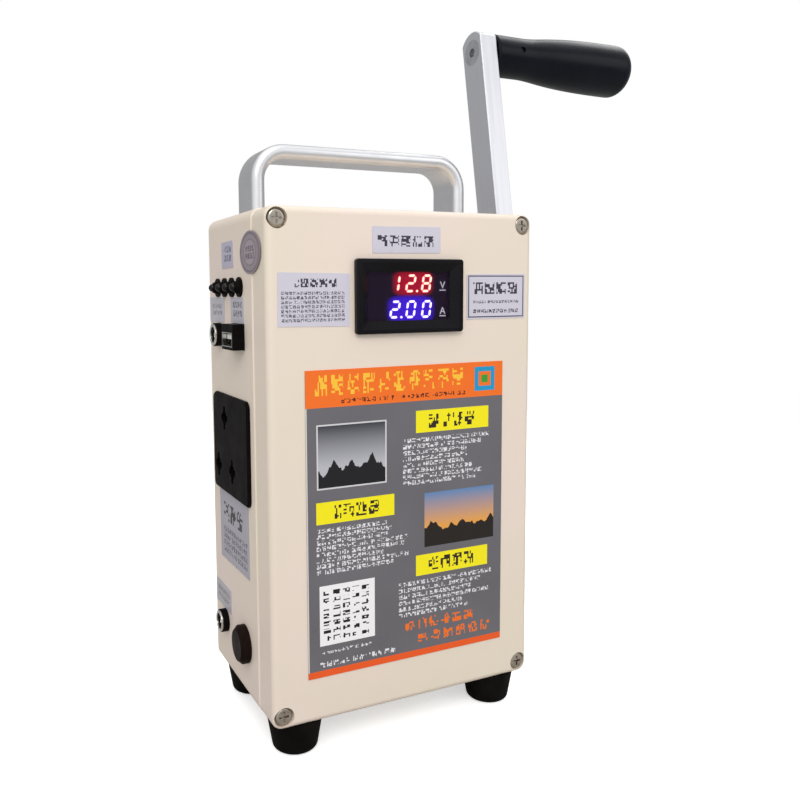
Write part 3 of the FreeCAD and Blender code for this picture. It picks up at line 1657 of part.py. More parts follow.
def solids_of(made):
    """The solids of a piece, or of a group of pieces."""
    shapes = made if isinstance(made, list) else [made]
    return [solid for shape in shapes for solid in shape.Solids]


os.makedirs("parts", exist_ok=True)
for name, make in nodes.items():
    solids = solids_of(make())
    shape = solids[0] if len(solids) == 1 else Part.makeCompound(solids)
    shape.exportStep("parts/" + name + ".step")
    volume = sum(solid.Volume for solid in solids)
    print(name, len(solids), "solids", round(volume, 1), "mm3", "valid" if shape.isValid() else "INVALID")
print(len(nodes), "nodes")
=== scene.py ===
# %% [markdown]
# # A hand crank generator, dressed in cells
#
# The object is a portable generator: a cream plastic case on four rubber feet, with a carry
# handle, a crank with a revolving grip, a volt and amp meter, and a side full of sockets. Its
# solids come from a CAD model and are already the right size and shape. Blender adds what a
# solid can't say: finishes, prints, light inside the meter and a few thin pieces.
#
# Everything is in metres, X to the right, Y to the back and Z up, with the origin on the floor
# between the feet. Sizes that a maker would quote in millimetres are multiplied by MM.

# %% Load the fixed frame
import json
import math

import bpy
from mathutils import Euler, Matrix, Vector

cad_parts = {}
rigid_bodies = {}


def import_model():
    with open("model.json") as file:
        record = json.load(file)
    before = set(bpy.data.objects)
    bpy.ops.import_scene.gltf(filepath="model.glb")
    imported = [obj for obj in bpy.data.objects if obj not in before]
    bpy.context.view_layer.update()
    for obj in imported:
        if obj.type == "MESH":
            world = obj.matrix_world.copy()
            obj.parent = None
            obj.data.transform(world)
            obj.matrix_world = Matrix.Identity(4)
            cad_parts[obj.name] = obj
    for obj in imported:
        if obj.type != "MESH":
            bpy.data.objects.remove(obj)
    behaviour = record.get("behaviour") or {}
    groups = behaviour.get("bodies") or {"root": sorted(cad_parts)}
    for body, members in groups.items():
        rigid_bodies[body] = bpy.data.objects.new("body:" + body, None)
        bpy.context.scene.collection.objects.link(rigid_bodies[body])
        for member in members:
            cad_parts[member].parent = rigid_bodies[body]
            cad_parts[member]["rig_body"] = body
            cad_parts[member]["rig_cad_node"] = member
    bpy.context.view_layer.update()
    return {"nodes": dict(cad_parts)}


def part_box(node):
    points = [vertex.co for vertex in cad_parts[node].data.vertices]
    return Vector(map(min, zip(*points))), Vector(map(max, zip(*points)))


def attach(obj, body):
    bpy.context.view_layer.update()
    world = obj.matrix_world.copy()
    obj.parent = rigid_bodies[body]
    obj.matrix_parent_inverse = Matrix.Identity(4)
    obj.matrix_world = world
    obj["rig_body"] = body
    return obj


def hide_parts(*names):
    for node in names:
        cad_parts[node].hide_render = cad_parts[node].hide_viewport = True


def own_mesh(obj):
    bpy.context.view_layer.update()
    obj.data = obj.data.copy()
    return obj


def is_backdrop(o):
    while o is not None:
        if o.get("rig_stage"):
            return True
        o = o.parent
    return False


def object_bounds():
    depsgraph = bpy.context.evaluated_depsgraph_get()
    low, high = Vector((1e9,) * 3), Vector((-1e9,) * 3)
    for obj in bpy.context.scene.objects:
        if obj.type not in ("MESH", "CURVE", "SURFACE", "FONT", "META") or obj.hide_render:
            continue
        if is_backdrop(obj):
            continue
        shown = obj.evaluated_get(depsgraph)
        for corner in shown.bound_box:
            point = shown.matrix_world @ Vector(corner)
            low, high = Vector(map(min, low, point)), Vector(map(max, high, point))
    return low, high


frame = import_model()
MM = 0.001
bpy.ops.object.select_all(action="DESELECT")

# %% [markdown]
# ## The camera
#
# The generator is seen from the front and from its left, from a little below the top of its
# case and looking slightly down. A camera that is aimed with a Track To constraint can't lean,
# and this view leans by half a degree, so the camera's three axes are built by hand: where it
# looks, what is to its right, and what is above it. Two shift values move the picture without
# turning the camera.

# %% Place the camera
CAMERA_PLACE = Vector((-157.9, -310.5, 180.6)) * MM
CAMERA_YAW, CAMERA_PITCH, CAMERA_ROLL = (math.radians(a) for a in (24.43, 5.18, -0.55))
LENS, SENSOR_WIDTH = 35.68, 36.0
SHIFT_X, SHIFT_Y = 0.0856, -0.0426
CLIP_NEAR, CLIP_FAR = 0.02, 60.0
looks = Vector((
    math.sin(CAMERA_YAW) * math.cos(CAMERA_PITCH),
    math.cos(CAMERA_YAW) * math.cos(CAMERA_PITCH),
    -math.sin(CAMERA_PITCH),
))
level = Vector((math.cos(CAMERA_YAW), -math.sin(CAMERA_YAW), 0))
above = level.cross(looks)
right = level * math.cos(CAMERA_ROLL) + above * math.sin(CAMERA_ROLL)
axes = Matrix((right, right.cross(looks), -looks)).transposed()
bpy.ops.object.camera_add()
camera = bpy.context.object
camera.name = "studio_camera"
camera.matrix_world = Matrix.Translation(CAMERA_PLACE) @ axes.to_4x4()
camera.data.lens, camera.data.sensor_width = LENS, SENSOR_WIDTH
camera.data.shift_x, camera.data.shift_y = SHIFT_X, SHIFT_Y
camera.data.clip_start, camera.data.clip_end = CLIP_NEAR, CLIP_FAR
bpy.context.scene.camera = camera
print("camera looks along", [round(v, 3) for v in looks])

# %% [markdown]
# ## Colours
#
# Colours are written as the hex values that a paint chart or a web page gives. Blender's
# sockets take linear light instead, so one function turns the one into the other.

# %% Turn a hex colour into linear light
def linear(hex_colour):
    """An sRGB hex colour as the four linear values that a colour socket takes."""
    shares = [int(hex_colour[i : i + 2], 16) / 255 for i in (1, 3, 5)]
    return [s / 12.92 if s <= 0.04045 else ((s + 0.055) / 1.055) ** 2.4 for s in shares] + [1.0]


print("middle grey is", round(linear("#808080")[0], 3), "in linear light")

# %% [markdown]
# ## Nodes
#
# A material is a small graph. Each node is added, given its values and joined to the nodes
# before it, and these three acts are the same for every kind of node, so one function does
# them all. A key that is the name or number of a socket sets that socket, and any other key
# sets a property of the node.

# %% Add one node
def add_node(tree, kind, values=None, links=None):
    """Adds a node to tree, sets its sockets and properties, and links its inputs."""
    node = tree.nodes.new(kind)
    for key, value in (values or {}).items():
        if isinstance(key, int) or key in node.inputs:
            node.inputs[key].default_value = value
        else:
            setattr(node, key, value)
    for key, source in (links or {}).items():
        tree.links.new(source, node.inputs[key])
    return node


print("one function adds every node")

# %% [markdown]
# Four kinds of node come up again and again: a mix of two colours, a sum, the parts of a vector
# and a change of range. Each has a function of its own.

# %% Blend, calculate, split and rescale
MIX_FIRST, MIX_SECOND, MIX_RESULT = 6, 7, 2


def blend(tree, share, first, second):
    """The first colour where share is 0 and the second where it is 1: hex values or sockets."""
    values = {"data_type": "RGBA"}
    links = {0: share}
    for number, colour in ((MIX_FIRST, first), (MIX_SECOND, second)):
        if isinstance(colour, str):
            values[number] = linear(colour)
        else:
            links[number] = colour
    return add_node(tree, "ShaderNodeMix", values, links).outputs[MIX_RESULT]


def calculate(tree, operation, *terms, vector=False):
    """The result of one Math node, or of one Vector Math node. A term is a socket or a value."""
    values = {"operation": operation}
    links = {}
    for number, term in enumerate(terms):
        target = links if isinstance(term, bpy.types.NodeSocket) else values
        target[number] = term
    outputs = add_node(tree, "ShaderNodeVectorMath" if vector else "ShaderNodeMath", values, links).outputs
    return outputs["Value"] if operation in ("DOT_PRODUCT", "LENGTH") else outputs[0]


def split(tree, vector):
    """The X, Y and Z of a vector, by these names."""
    return add_node(tree, "ShaderNodeSeparateXYZ", None, {0: vector}).outputs


def rescale(tree, value, reads=(0.0, 1.0), gives=(0.0, 1.0), kind="LINEAR"):
    """Turns the range that a value reads into the range that it gives, and keeps within it."""
    values = {"From Min": reads[0], "From Max": reads[1], "To Min": gives[0], "To Max": gives[1]}
    values["interpolation_type"] = kind
    return add_node(tree, "ShaderNodeMapRange", values, {"Value": value}).outputs[0]


print("sums are nodes too")

# %% [markdown]
# ## The studio
#
# A product is shown on white paper under soft light. The floor is one disc, wider than the
# picture needs, and evenly lit, so that its edge can't be told from the white beyond. White
# paper would also throw its light back up, and wash out the dark underside of the grip, the
# handle and the feet. A photographer lays grey paper and lifts it to white afterwards; here
# the Light Path node does both at once, and the paper is white only for the camera.
#
# The light all round comes from the world: white where the camera looks past the floor, bright
# from the front, the left and above as from a large window, and grey behind and on the right,
# because polished metal is only as bright as what it mirrors. A key lamp hangs near, in front
# and above, so that the case is brightest at its top and its left side falls into a soft
# shade. Weak lamps fill in from above and from the right.

# %% Lay the floor
FLOOR_RADIUS = 0.9
PAPER_LIFT = 0.50
bpy.ops.mesh.primitive_circle_add(vertices=128, radius=FLOOR_RADIUS, fill_type="NGON")
floor = bpy.context.object
floor.name = "studio_floor"
paper = bpy.data.materials.new("paper_backdrop_matt")
paper.use_nodes = True
tree = paper.node_tree
shader = tree.nodes["Principled BSDF"]
shader.inputs["Roughness"].default_value = 0.85
shader.inputs["Emission Color"].default_value = linear("#FFFFFF")
seen = add_node(tree, "ShaderNodeLightPath").outputs["Is Camera Ray"]
tree.links.new(blend(tree, seen, "#B4B2AE", "#FAF9F7"), shader.inputs["Base Color"])
tree.links.new(rescale(tree, seen, gives=(0.0, PAPER_LIFT)), shader.inputs["Emission Strength"])
floor.data.materials.append(paper)
floor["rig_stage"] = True
print("floor radius in m:", FLOOR_RADIUS)

# %% Light the surround
WORLD_TOWARDS = Vector((-0.45, -0.65, 0.61)).normalized()
WORLD_FULL_AT = 0.9
WORLD_DIM = 0.41
surround = bpy.data.worlds.new("studio_surround")
bpy.context.scene.world = surround
surround.use_nodes = True
sky = surround.node_tree
sky.nodes.clear()
ray = add_node(sky, "ShaderNodeTexCoord").outputs["Generated"]
facing = calculate(sky, "DOT_PRODUCT", ray, WORLD_TOWARDS, vector=True)
glow = rescale(sky, facing, (0.0, WORLD_FULL_AT), (WORLD_DIM, 1.0), "SMOOTHSTEP")
soft = add_node(sky, "ShaderNodeBackground", {"Color": linear("#FBFCFF")}, {"Strength": glow})
white = add_node(sky, "ShaderNodeBackground", {"Color": linear("#FFFFFF"), "Strength": 1.0})
seen = add_node(sky, "ShaderNodeLightPath").outputs["Is Camera Ray"]
both = add_node(sky, "ShaderNodeMixShader", None, {0: seen, 1: soft.outputs[0], 2: white.outputs[0]})
add_node(sky, "ShaderNodeOutputWorld", None, {"Surface": both.outputs[0]})
bpy.context.scene.view_settings.view_transform = "Standard"
print("brightest towards", [round(v, 2) for v in WORLD_TOWARDS])

# %% Hang the lamps
SUBJECT = Vector((0.0, 0.0, 0.15))


def hang_lamp(name, place, size, power):
    """A square soft lamp of that size in metres, turned to the subject."""
    bpy.ops.object.light_add(type="AREA", location=place)
    lamp = bpy.context.object
    lamp.name = name
    lamp.data.size, lamp.data.energy = size, power
    lamp.visible_camera = False
    lamp.rotation_euler = (SUBJECT - Vector(place)).to_track_quat("-Z", "Y").to_euler()


hang_lamp("softbox_overhead", (0.10, 0.05, 1.95), 2.4, 7.5)
hang_lamp("softbox_right_high", (1.20, 0.50, 1.40), 0.8, 5.5)
hang_lamp("softbox_key", (-0.36, -0.85, 0.90), 0.5, 4.3)
hang_lamp("reflector_front_right", (1.55, -1.80, 1.05), 1.2, 4.5)

# %% [markdown]
# ## What every finish shares
#
# Every finish starts the same way: a shader with the real material's colour, roughness and
# IOR, and the place of each point on the object, in metres. Two patterns then serve most of
# them. Grain is relief: noise whose lumps have a size and a height in millimetres. Drift is
# the slow change of colour and gloss over a surface that was handled, printed or cast. A
# texture's scale is one over its size in metres, so the sizes in the calls are real ones.

# %% Start a finish
def start_finish(name, colour, roughness, metallic=0.0, ior=None, mirror=None):
    """A material with its shader set, its node tree, its shader and the place of each point."""
    material = bpy.data.materials.new(name)
    material.use_nodes = True
    tree = material.node_tree
    shader = tree.nodes["Principled BSDF"]
    shader.inputs["Base Color"].default_value = linear(colour)
    shader.inputs["Roughness"].default_value = roughness
    shader.inputs["Metallic"].default_value = metallic
    if ior is not None:
        shader.inputs["IOR"].default_value = ior
    if mirror is not None:
        shader.inputs["Specular IOR Level"].default_value = mirror
    return material, tree, shader, add_node(tree, "ShaderNodeTexCoord").outputs["Object"]


print("a finish starts from its shader and a place in metres")

# %% Give a finish its grain
NOISE_RANGE = (0.3, 0.7)


def add_noise(tree, place, size, stretch, detail):
    """Noise whose lumps are size mm across, and longer along axes of a low stretch."""
    scale = [s / (size * MM) for s in stretch]
    scaled = add_node(tree, "ShaderNodeMapping", {"Scale": scale}, {"Vector": place})
    values = {"Scale": 1.0, "Detail": detail}
    return add_node(tree, "ShaderNodeTexNoise", values, {"Vector": scaled.outputs[0]}).outputs["Fac"]


def add_relief(tree, shader, pattern, height):
    """Reads a pattern as relief, height mm high."""
    bump = add_node(tree, "ShaderNodeBump", {"Distance": height * MM}, {"Height": pattern})
    tree.links.new(bump.outputs[0], shader.inputs["Normal"])


def add_grain(tree, shader, place, size, height, stretch=(1, 1, 1), detail=2.0):
    """Relief of lumps size mm across and height mm high, longer along axes of a low stretch."""
    add_relief(tree, shader, add_noise(tree, place, size, stretch, detail), height)


print("grain is noise read as height, mostly between", *NOISE_RANGE)

# %% Let a finish drift
def add_drift(tree, shader, place, size, colours, roughness, stretch=(1, 1, 1)):
    """Changes the colour between two hex values and the roughness between two numbers, over size mm."""
    share = rescale(tree, add_noise(tree, place, size, stretch, 3.0), NOISE_RANGE)
    drifted = blend(tree, share, *colours)
    tree.links.new(drifted, shader.inputs["Base Color"])
    tree.links.new(rescale(tree, share, gives=roughness), shader.inputs["Roughness"])
    return drifted


print("drift is noise read as colour and gloss")

# %% [markdown]
# Many finishes need only a drift and a grain. One call makes them and puts them on their solids.

# %% Put a finish on solids
dressed = set()


def dress(material, *names):
    """Assigns the material to the slots of these solids. Their meshes stay as they are."""
    for name in names:
        solid = frame["nodes"][name]
        if not solid.material_slots:
            solid.data.materials.append(material)
        for place in solid.material_slots:
            place.material = material
    dressed.update(names)
    print(material.name, "on", ", ".join(names))


def dress_plain(name, colour, roughness, drift, grain, solids, stretch=(1, 1, 1), **surface):
    """A finish that has a drift and a grain and nothing else, put on its solids."""
    material, tree, shader, place = start_finish(name, colour, roughness, **surface)
    add_drift(tree, shader, place, *drift, stretch=stretch)
    add_grain(tree, shader, place, *grain, stretch=stretch)
    dress(material, *solids)


print("solids to dress:", len(frame["nodes"]))

# %% [markdown]
# ## The case: moulded ABS
#
# The case is ABS, injection moulded in a spark eroded mould. That leaves an even fine grain
# a few tenths of a millimetre across, which breaks reflections into a soft sheen. Plain ABS
# has an IOR of about 1.54. The grain is drawn 0.6 mm wide, twice its real width, so that it
# shows. The drift is faint: the cream of such a case is slightly warmer where it was handled.

# %% Moulded ABS, cream
dress_plain(
    "abs_moulded_cream", "#E9D9CA", 0.42, (70, ("#ECDACE", "#E6DAC5"), (0.40, 0.50)), (0.6, 0.012),
    ["front_cover", "rear_housing"], ior=1.54,
)

# %% [markdown]
# ## Rubber: the seal and the feet
#
# Both are black rubber pressed in a mould, and its matt skin scatters light widely. Feet pick
# up dust, so theirs drifts further in colour and in gloss.

# %% Moulded rubber
dress_plain(
    "nitrile_rubber_moulded_seal", "#1C1C1D", 0.7, (6, ("#19191A", "#242425"), (0.62, 0.80)), (0.4, 0.01),
    ["cover_gasket"], ior=1.52, mirror=0.15,
)
dress_plain(
    "natural_rubber_moulded_feet", "#0D0A08", 0.55, (9, ("#0A0908", "#171412"), (0.45, 0.72)), (0.5, 0.02),
    ["rubber_feet"], ior=1.52, mirror=0.04,
)

# %% [markdown]
# ## Aluminium: the handle, the arm and the gear plates
#
# The carry handle is aluminium bar, bent, tumbled and clear anodised. Anodising leaves a
# satin skin whose pores are too fine to see, but the reflections are soft and even. The
# crank arm is flat bar that was brushed along its length, so its finish runs one way: the
# noise is stretched forty times along the bar, which leans back by 9.6 degrees. A metal
# keeps the default IOR, and its colour is what it reflects.

# %% Anodised handle
dress_plain(
    "aluminium_clear_anodised_handle", "#E4E4E5", 0.30, (12, ("#E8E8E9", "#DFDFE0"), (0.26, 0.36)),
    (0.35, 0.004), ["carry_handle"], metallic=1.0,
)

# %% Brushed arm
ARM_LEAN = math.radians(9.6)
BRUSHED_LENGTH = 1 / 40
arm, tree, shader, place = start_finish("aluminium_flat_bar_brushed", "#DEDEE1", 0.38, 1.0)
along = add_node(tree, "ShaderNodeMapping", {"Rotation": (ARM_LEAN, 0, 0)}, {"Vector": place}).outputs[0]
add_drift(tree, shader, along, 1.2, ("#E1E1E4", "#DBDBDF"), (0.36, 0.44), stretch=(1, 1, BRUSHED_LENGTH))
add_grain(tree, shader, along, 0.3, 0.002, stretch=(1, 1, BRUSHED_LENGTH))
dress(arm, "crank_arm")

# %% Rolled plate
ROLLED_LENGTH = 1 / 20
dress_plain(
    "aluminium_rolled_plate", "#B9BABD", 0.4, (2, ("#BDBEC1", "#AFB0B4"), (0.35, 0.5)), (0.3, 0.003),
    ["gear_plates", "generator_cap"], stretch=(1, 1, ROLLED_LENGTH), metallic=1.0,
)

# %% [markdown]
# ## Steel: screws, shafts, gears and the spring
#
# Cheap cross head screws are steel with a thin nickel plate: warm grey, bright, and slightly
# dull on top where the driver slipped. The machine screws and the grip's bolt are zinc
# plated, and the grip's own small screw is blackened. Shafts are ground and almost mirror
# smooth, spring wire is drawn, and gears keep the fine marks of the hob and a film of oil. One
# loop makes the six finishes, because they differ only in colour, gloss and the size of their
# marks: each row holds two colours, two roughnesses, that size in mm and the solids.

# %% Plated, ground, hobbed and drawn steel
STEELS = {
    "steel_nickel_plated": (
        "#C6BEB2", "#A39A8E", 0.14, 0.28, 0.8,
        ["cover_screws", "plate_screws", "plate_spacers", "generator_screws"],
    ),
    "steel_zinc_plated": (
        "#D2D2D5", "#BABABE", 0.26, 0.42, 0.9,
        ["grip_spindle", "arm_screw", "crank_spacer", "foot_screws", "foot_nuts", "handle_screws",
         "generator_can"],
    ),
    "steel_ground_shaft": (
        "#B4B4B6", "#A4A4A7", 0.14, 0.24, 0.5, ["crank_shaft", "rotor_shaft", "idler_pin", "shaft_bearings"],
    ),
    "steel_hobbed_gear": (
        "#8F8F92", "#77777B", 0.25, 0.45, 1.0, ["crank_gear", "idler_gear", "rotor_pinion"],
    ),
    "steel_drawn_spring_wire": ("#9C9CA0", "#85858A", 0.20, 0.32, 0.4, ["button_spring"]),
    "steel_blackened": ("#3A3A3E", "#28282B", 0.28, 0.42, 0.6, ["grip_set_screw"]),
}
DRIFT_PER_MARK, GRAIN_PER_MARK = 4, 0.3
for name, (light, dark, smooth, rough, size, solids) in STEELS.items():
    drift = (size * DRIFT_PER_MARK, (light, dark), (smooth, rough))
    dress_plain(name, light, smooth, drift, (size * GRAIN_PER_MARK, 0.003), solids, metallic=1.0)

# %% [markdown]
# ## Brass, nickel silver and copper
#
# The jacks' face rings, the USB shell and the socket's contacts are thin metal, stamped or
# turned and plated. The enamel on the copper wire gives it a clear brown coat, so its
# material has a coat. A wave texture, which repeats every 0.314 units, draws bands along the
# winding, and later along the core: a light and a dark one for every two turns or sheets.

# %% Turned brass
dress_plain(
    "brass_turned", "#D0A85C", 0.28, (3, ("#D4AD62", "#B8904A"), (0.22, 0.4)), (0.3, 0.004),
    ["insert_nuts", "socket_contacts", "shaft_bush"], metallic=1.0,
)

# %% Nickel plated sheet
dress_plain(
    "brass_nickel_plated_bright", "#E2E0DA", 0.12, (4, ("#E8E6E1", "#CECBC4"), (0.09, 0.20)), (0.5, 0.002),
    ["jack_rings", "jack_pins", "jack_nuts", "usb_shell", "button_nut"], metallic=1.0,
)

# %% Draw bands
BAND_SCALE = 0.159


def add_bands(tree, shader, place, layer, dark, light, height, waver=0.0):
    """Bands across X for layers of that thickness in mm, in two colours and height mm deep."""
    values = {"wave_type": "BANDS", "bands_direction": "X", "Distortion": waver}
    values["Scale"] = BAND_SCALE / (layer * MM)
    bands = add_node(tree, "ShaderNodeTexWave", values, {"Vector": place}).outputs["Fac"]
    tree.links.new(blend(tree, bands, dark, light), shader.inputs["Base Color"])
    add_relief(tree, shader, bands, height)


print("bands repeat every", round(math.pi / 10 / BAND_SCALE, 2), "layers")

# %% Enamelled copper
WIRE = 0.8
COAT_WEIGHT = 0.6
copper, tree, shader, place = start_finish("copper_wire_enamelled", "#B4622D", 0.3, 1.0)
shader.inputs["Coat Weight"].default_value = COAT_WEIGHT
add_bands(tree, shader, place, WIRE, "#7A3414", "#C8743A", 0.2, waver=0.6)
dress(copper, "stator_coils")

# %% [markdown]
# ## Black mouldings
#
# The side's sockets, the lamp rims, the meter and the button are black thermoplastics that
# differ in gloss. Polished tools leave the meter's frame glossy; the nylon of the sockets is
# satin with a slight grain; the button is a warm brown-black. The grip is phenolic resin,
# moulded black, with the soft broad shine of a handled knob. Dark plastics drift in gloss more
# than in colour.

# %% Nylon sockets and rims
dress_plain(
    "nylon_moulded_black", "#0E0B0C", 0.42, (8, ("#0D0A0A", "#141011"), (0.36, 0.50)), (0.4, 0.008),
    ["usb_housing", "jack_bodies", "socket_face", "socket_back", "lamp_bezels", "button_switch"],
    ior=1.53, mirror=0.02,
)

# %% Pale nylon tongue
dress_plain(
    "nylon_moulded_natural", "#F6F5F0", 0.4, (4, ("#F8F7F2", "#EDEBE4"), (0.34, 0.48)), (0.4, 0.006),
    ["usb_tongue"], ior=1.53,
)

# %% Glossy meter frame
dress_plain(
    "abs_moulded_gloss_black", "#100C10", 0.16, (18, ("#0C0B0D", "#121014"), (0.14, 0.26)), (1.5, 0.004),
    ["meter_housing"], ior=1.54, mirror=0.12,
)

# %% Button
dress_plain(
    "abs_moulded_button_brown_black", "#1A110E", 0.36, (6, ("#170F0C", "#211613"), (0.32, 0.46)),
    (0.35, 0.008), ["button_bezel", "button_plunger"], ior=1.54, mirror=0.03,
)

# %% Phenolic grip
dress_plain(
    "phenolic_resin_moulded_grip", "#060A12", 0.30, (16, ("#04080F", "#09101B"), (0.26, 0.36)),
    (0.8, 0.004), ["hand_grip"], ior=1.6, mirror=0.12,
)

# %% [markdown]
# ## Inside the case
#
# The generator's core is stacked silicon steel, so thin lines run across its length; its
# magnet is sintered ferrite, which is dark and dull like stone; the boards are glass epoxy
# under a green mask with traces showing as slightly lighter lines; the capacitors wear blue
# shrink sleeve. None of it shows from outside, but a part can be taken apart.

# %% Laminated core
SHEET = 0.5
core, tree, shader, place = start_finish("silicon_steel_laminated", "#5E5F63", 0.5, 1.0)
add_bands(tree, shader, place, SHEET, "#35363A", "#77787D", 0.05)
dress(core, "stator_core", "transformer")

# %% Sintered magnet and shrink sleeve
dress_plain(
    "ferrite_sintered", "#38383B", 0.6, (1.2, ("#303033", "#454548"), (0.5, 0.7)), (0.3, 0.01),
    ["rotor_magnet"],
)
sleeve, tree, shader, place = start_finish("pvc_shrink_sleeve_blue", "#1F3F86", 0.3, ior=1.53)
add_drift(tree, shader, place, 10, ("#1C3A7E", "#284A96"), (0.24, 0.4))
add_grain(tree, shader, place, 1.2, 0.02, stretch=(1, 1, 0.2))
dress(sleeve, "supercapacitors")

# %% Green circuit board
TRACE = 1.3
TRACES_PER_BRICK = 4
board, tree, shader, place = start_finish("glass_epoxy_board_green", "#12603A", 0.28, ior=1.5)
values = {"Scale": 1 / (TRACE * TRACES_PER_BRICK * MM), "Mortar Size": 0.035, "Mortar": linear("#2E8B57")}
values.update({"Color1": linear("#125C37"), "Color2": linear("#17693F")})
tracks = add_node(tree, "ShaderNodeTexBrick", values, {"Vector": place})
tree.links.new(tracks.outputs["Color"], shader.inputs["Base Color"])
add_grain(tree, shader, place, 1.0, 0.01)
dress(board, "circuit_boards")

# %% [markdown]
# ## The lamps
#
# Each status lamp is a 3 mm LED: clear epoxy cast round a small reflector cup, seen dark
# when it is off. The resin lets some light in, so part of the shader is transmission, and
# its surface is as smooth as glass.

# %% Cast epoxy lamps
resin, tree, shader, place = start_finish("epoxy_cast_lamp", "#120A0B", 0.10, ior=1.55, mirror=0.2)
shader.inputs["Transmission Weight"].default_value = 0.1
add_drift(tree, shader, place, 3, ("#0F0809", "#1A0F11"), (0.07, 0.14))
dress(resin, "lamps")

# %% [markdown]
# ## Printing without words
#
# The front sheet and the small labels are printed plastic. What they say isn't copied: the
# print is blocks, bands and rows of small strokes that read as text from arm's length and
# say nothing up close. It could be modelled as hundreds of thin bars, but ink has no height,
# so it belongs in the material. Three small patterns build it: a rectangle, rows of strokes
# and an ink laid over what is already there. All of them read the place on the sheet in
# metres, across as X and up as Z, so the sizes in the calls are the print's real ones.

# %% A printed rectangle
FAR = 1e6


def measured_from(tree, place, centre, radii):
    """The place seen from a centre and counted in radii, in mm. An axis that doesn't count has FAR."""
    values = {"vector_type": "TEXTURE"}
    values.update({"Location": [v * MM for v in centre], "Scale": [r * MM for r in radii]})
    return add_node(tree, "ShaderNodeMapping", values, {"Vector": place}).outputs[0]


def printed_box(tree, place, left, right, low, high):
    """1 inside a rectangle of the sheet and 0 outside, from its edges in mm."""
    centre = ((left + right) / 2, 0, (low + high) / 2)
    centred = measured_from(tree, place, centre, ((right - left) / 2, FAR, (high - low) / 2))
    away = split(tree, calculate(tree, "ABSOLUTE", centred, vector=True))
    return calculate(tree, "LESS_THAN", calculate(tree, "MAXIMUM", away["X"], away["Z"]), 1.0)


print("a rectangle is the larger of two distances")

# %% An ink over the rest
def print_over(tree, below, ink, *masks):
    """Lays an ink over the colour below where every mask is 1."""
    mask = masks[0]
    for other in masks[1:]:
        mask = calculate(tree, "MULTIPLY", mask, other)
    return blend(tree, mask, below, ink)


print("inks are laid from the lowest to the highest")

# %% [markdown]
# Each mark is a grid of cells. A stroke is one cell thick and three long, and white noise,
# which depends only on the place and a seed, decides which strokes have ink.

# %% Rows of marks
STROKE_LENGTH = 3


def print_rows(
    tree, place, below, ink, edges, tall,
    wide=None, strokes=5, gap=(0.25, 0.6), ragged=0.0, seed=1, bare=(0.70, 0.76),
):
    """Fills a rectangle with rows of marks that are tall by wide mm, and gap times that apart.

    strokes is the number of cells across a mark and up it, and bare the share of them without
    ink, for flat strokes and for upright ones. ragged is the share by which a row may be short.
    """
    left, right, low, high = edges
    width = right - left
    wide = wide or tall
    columns = round(width / (wide * (1 + gap[0])))
    lines = max(1, round((high - low + tall * gap[1]) / (tall * (1 + gap[1]))))
    pitch = (width / columns * MM, 1, (high - low + tall * gap[1]) / lines * MM)
    values = {"Location": (-left * MM, seed, -low * MM), "Scale": (1, 0, 1)}
    moved = add_node(tree, "ShaderNodeMapping", values, {"Vector": place}).outputs[0]
    inked = []
    for across, up, share in ((STROKE_LENGTH, 1, bare[0]), (1, STROKE_LENGTH, bare[1])):
        cell = (across * wide / strokes * MM, 1, up * tall / strokes * MM)
        snapped = calculate(tree, "SNAP", moved, cell, vector=True)
        chance = add_node(tree, "ShaderNodeTexWhiteNoise", None, {"Vector": snapped}).outputs["Value"]
        inked.append(calculate(tree, "GREATER_THAN", chance, share))
    spaced = split(tree, calculate(tree, "MODULO", moved, pitch, vector=True))
    masks = [
        printed_box(tree, place, *edges),
        calculate(tree, "MAXIMUM", *inked),
        calculate(tree, "LESS_THAN", spaced["X"], wide * MM),
        calculate(tree, "LESS_THAN", spaced["Z"], tall * MM),
    ]
    if ragged:
        line = calculate(tree, "SNAP", moved, (1, 1, pitch[2]), vector=True)
        chance = add_node(tree, "ShaderNodeTexWhiteNoise", None, {"Vector": line}).outputs["Value"]
        end = rescale(tree, chance, gives=(width * (1 - ragged) * MM, width * MM))
        masks.append(calculate(tree, "LESS_THAN", split(tree, moved)["X"], end))
    return print_over(tree, below, ink, *masks)


print("marks are white noise, snapped to cells and cut into rows")

# %% [markdown]
# ## The front sheet
#
# The large sheet on the front is printed and laminated vinyl: an orange head band and foot
# strip, a grey field, three yellow headings with dark strokes, blocks of white rows, two
# pictures, a badge, a white panel and single lines in orange and white. Its layout is a table
# of rectangles in millimetres. The laminate gives it a smooth half gloss with slow waves where
# it was rubbed down.

# %% Lay out the front sheet
SHEET_GREY, ORANGE, YELLOW, INK, CHALK = "#6A686C", "#F4711F", "#F8EA12", "#2B2018", "#E6E4E8"
BANDS = [
    (ORANGE, -45, 45, 137.6, 152.0), ("#EE5A1C", -45, 45, 31.5, 34.2), ("#D8D2CC", -45, -44.5, 34.2, 137.6),
]
BADGE = [
    ("#1E97C8", 31, 41, 140, 150), (ORANGE, 33, 39, 142, 148), ("#3E9A34", 34.4, 37.6, 143.4, 146.6),
]
HEADINGS = [(3, 38, 124.6, 133.6), (-41, -7, 92.4, 101.0), (3, 38, 65.4, 74.0)]
PARAGRAPHS = [(-3, 41, 103.6, 122.6), (-41, 2, 72.6, 90.6), (-5, 41, 49.0, 63.6)]
FIRST_PARAGRAPH_SEED, FIRST_LINE_SEED, PANEL_SEED = 1, 11, 31
vinyl, tree, shader, place = start_finish("vinyl_printed_laminated", SHEET_GREY, 0.3, ior=1.5, mirror=0.35)
colour = add_drift(tree, shader, place, 40, ("#666468", "#6E6C70"), (0.26, 0.38))
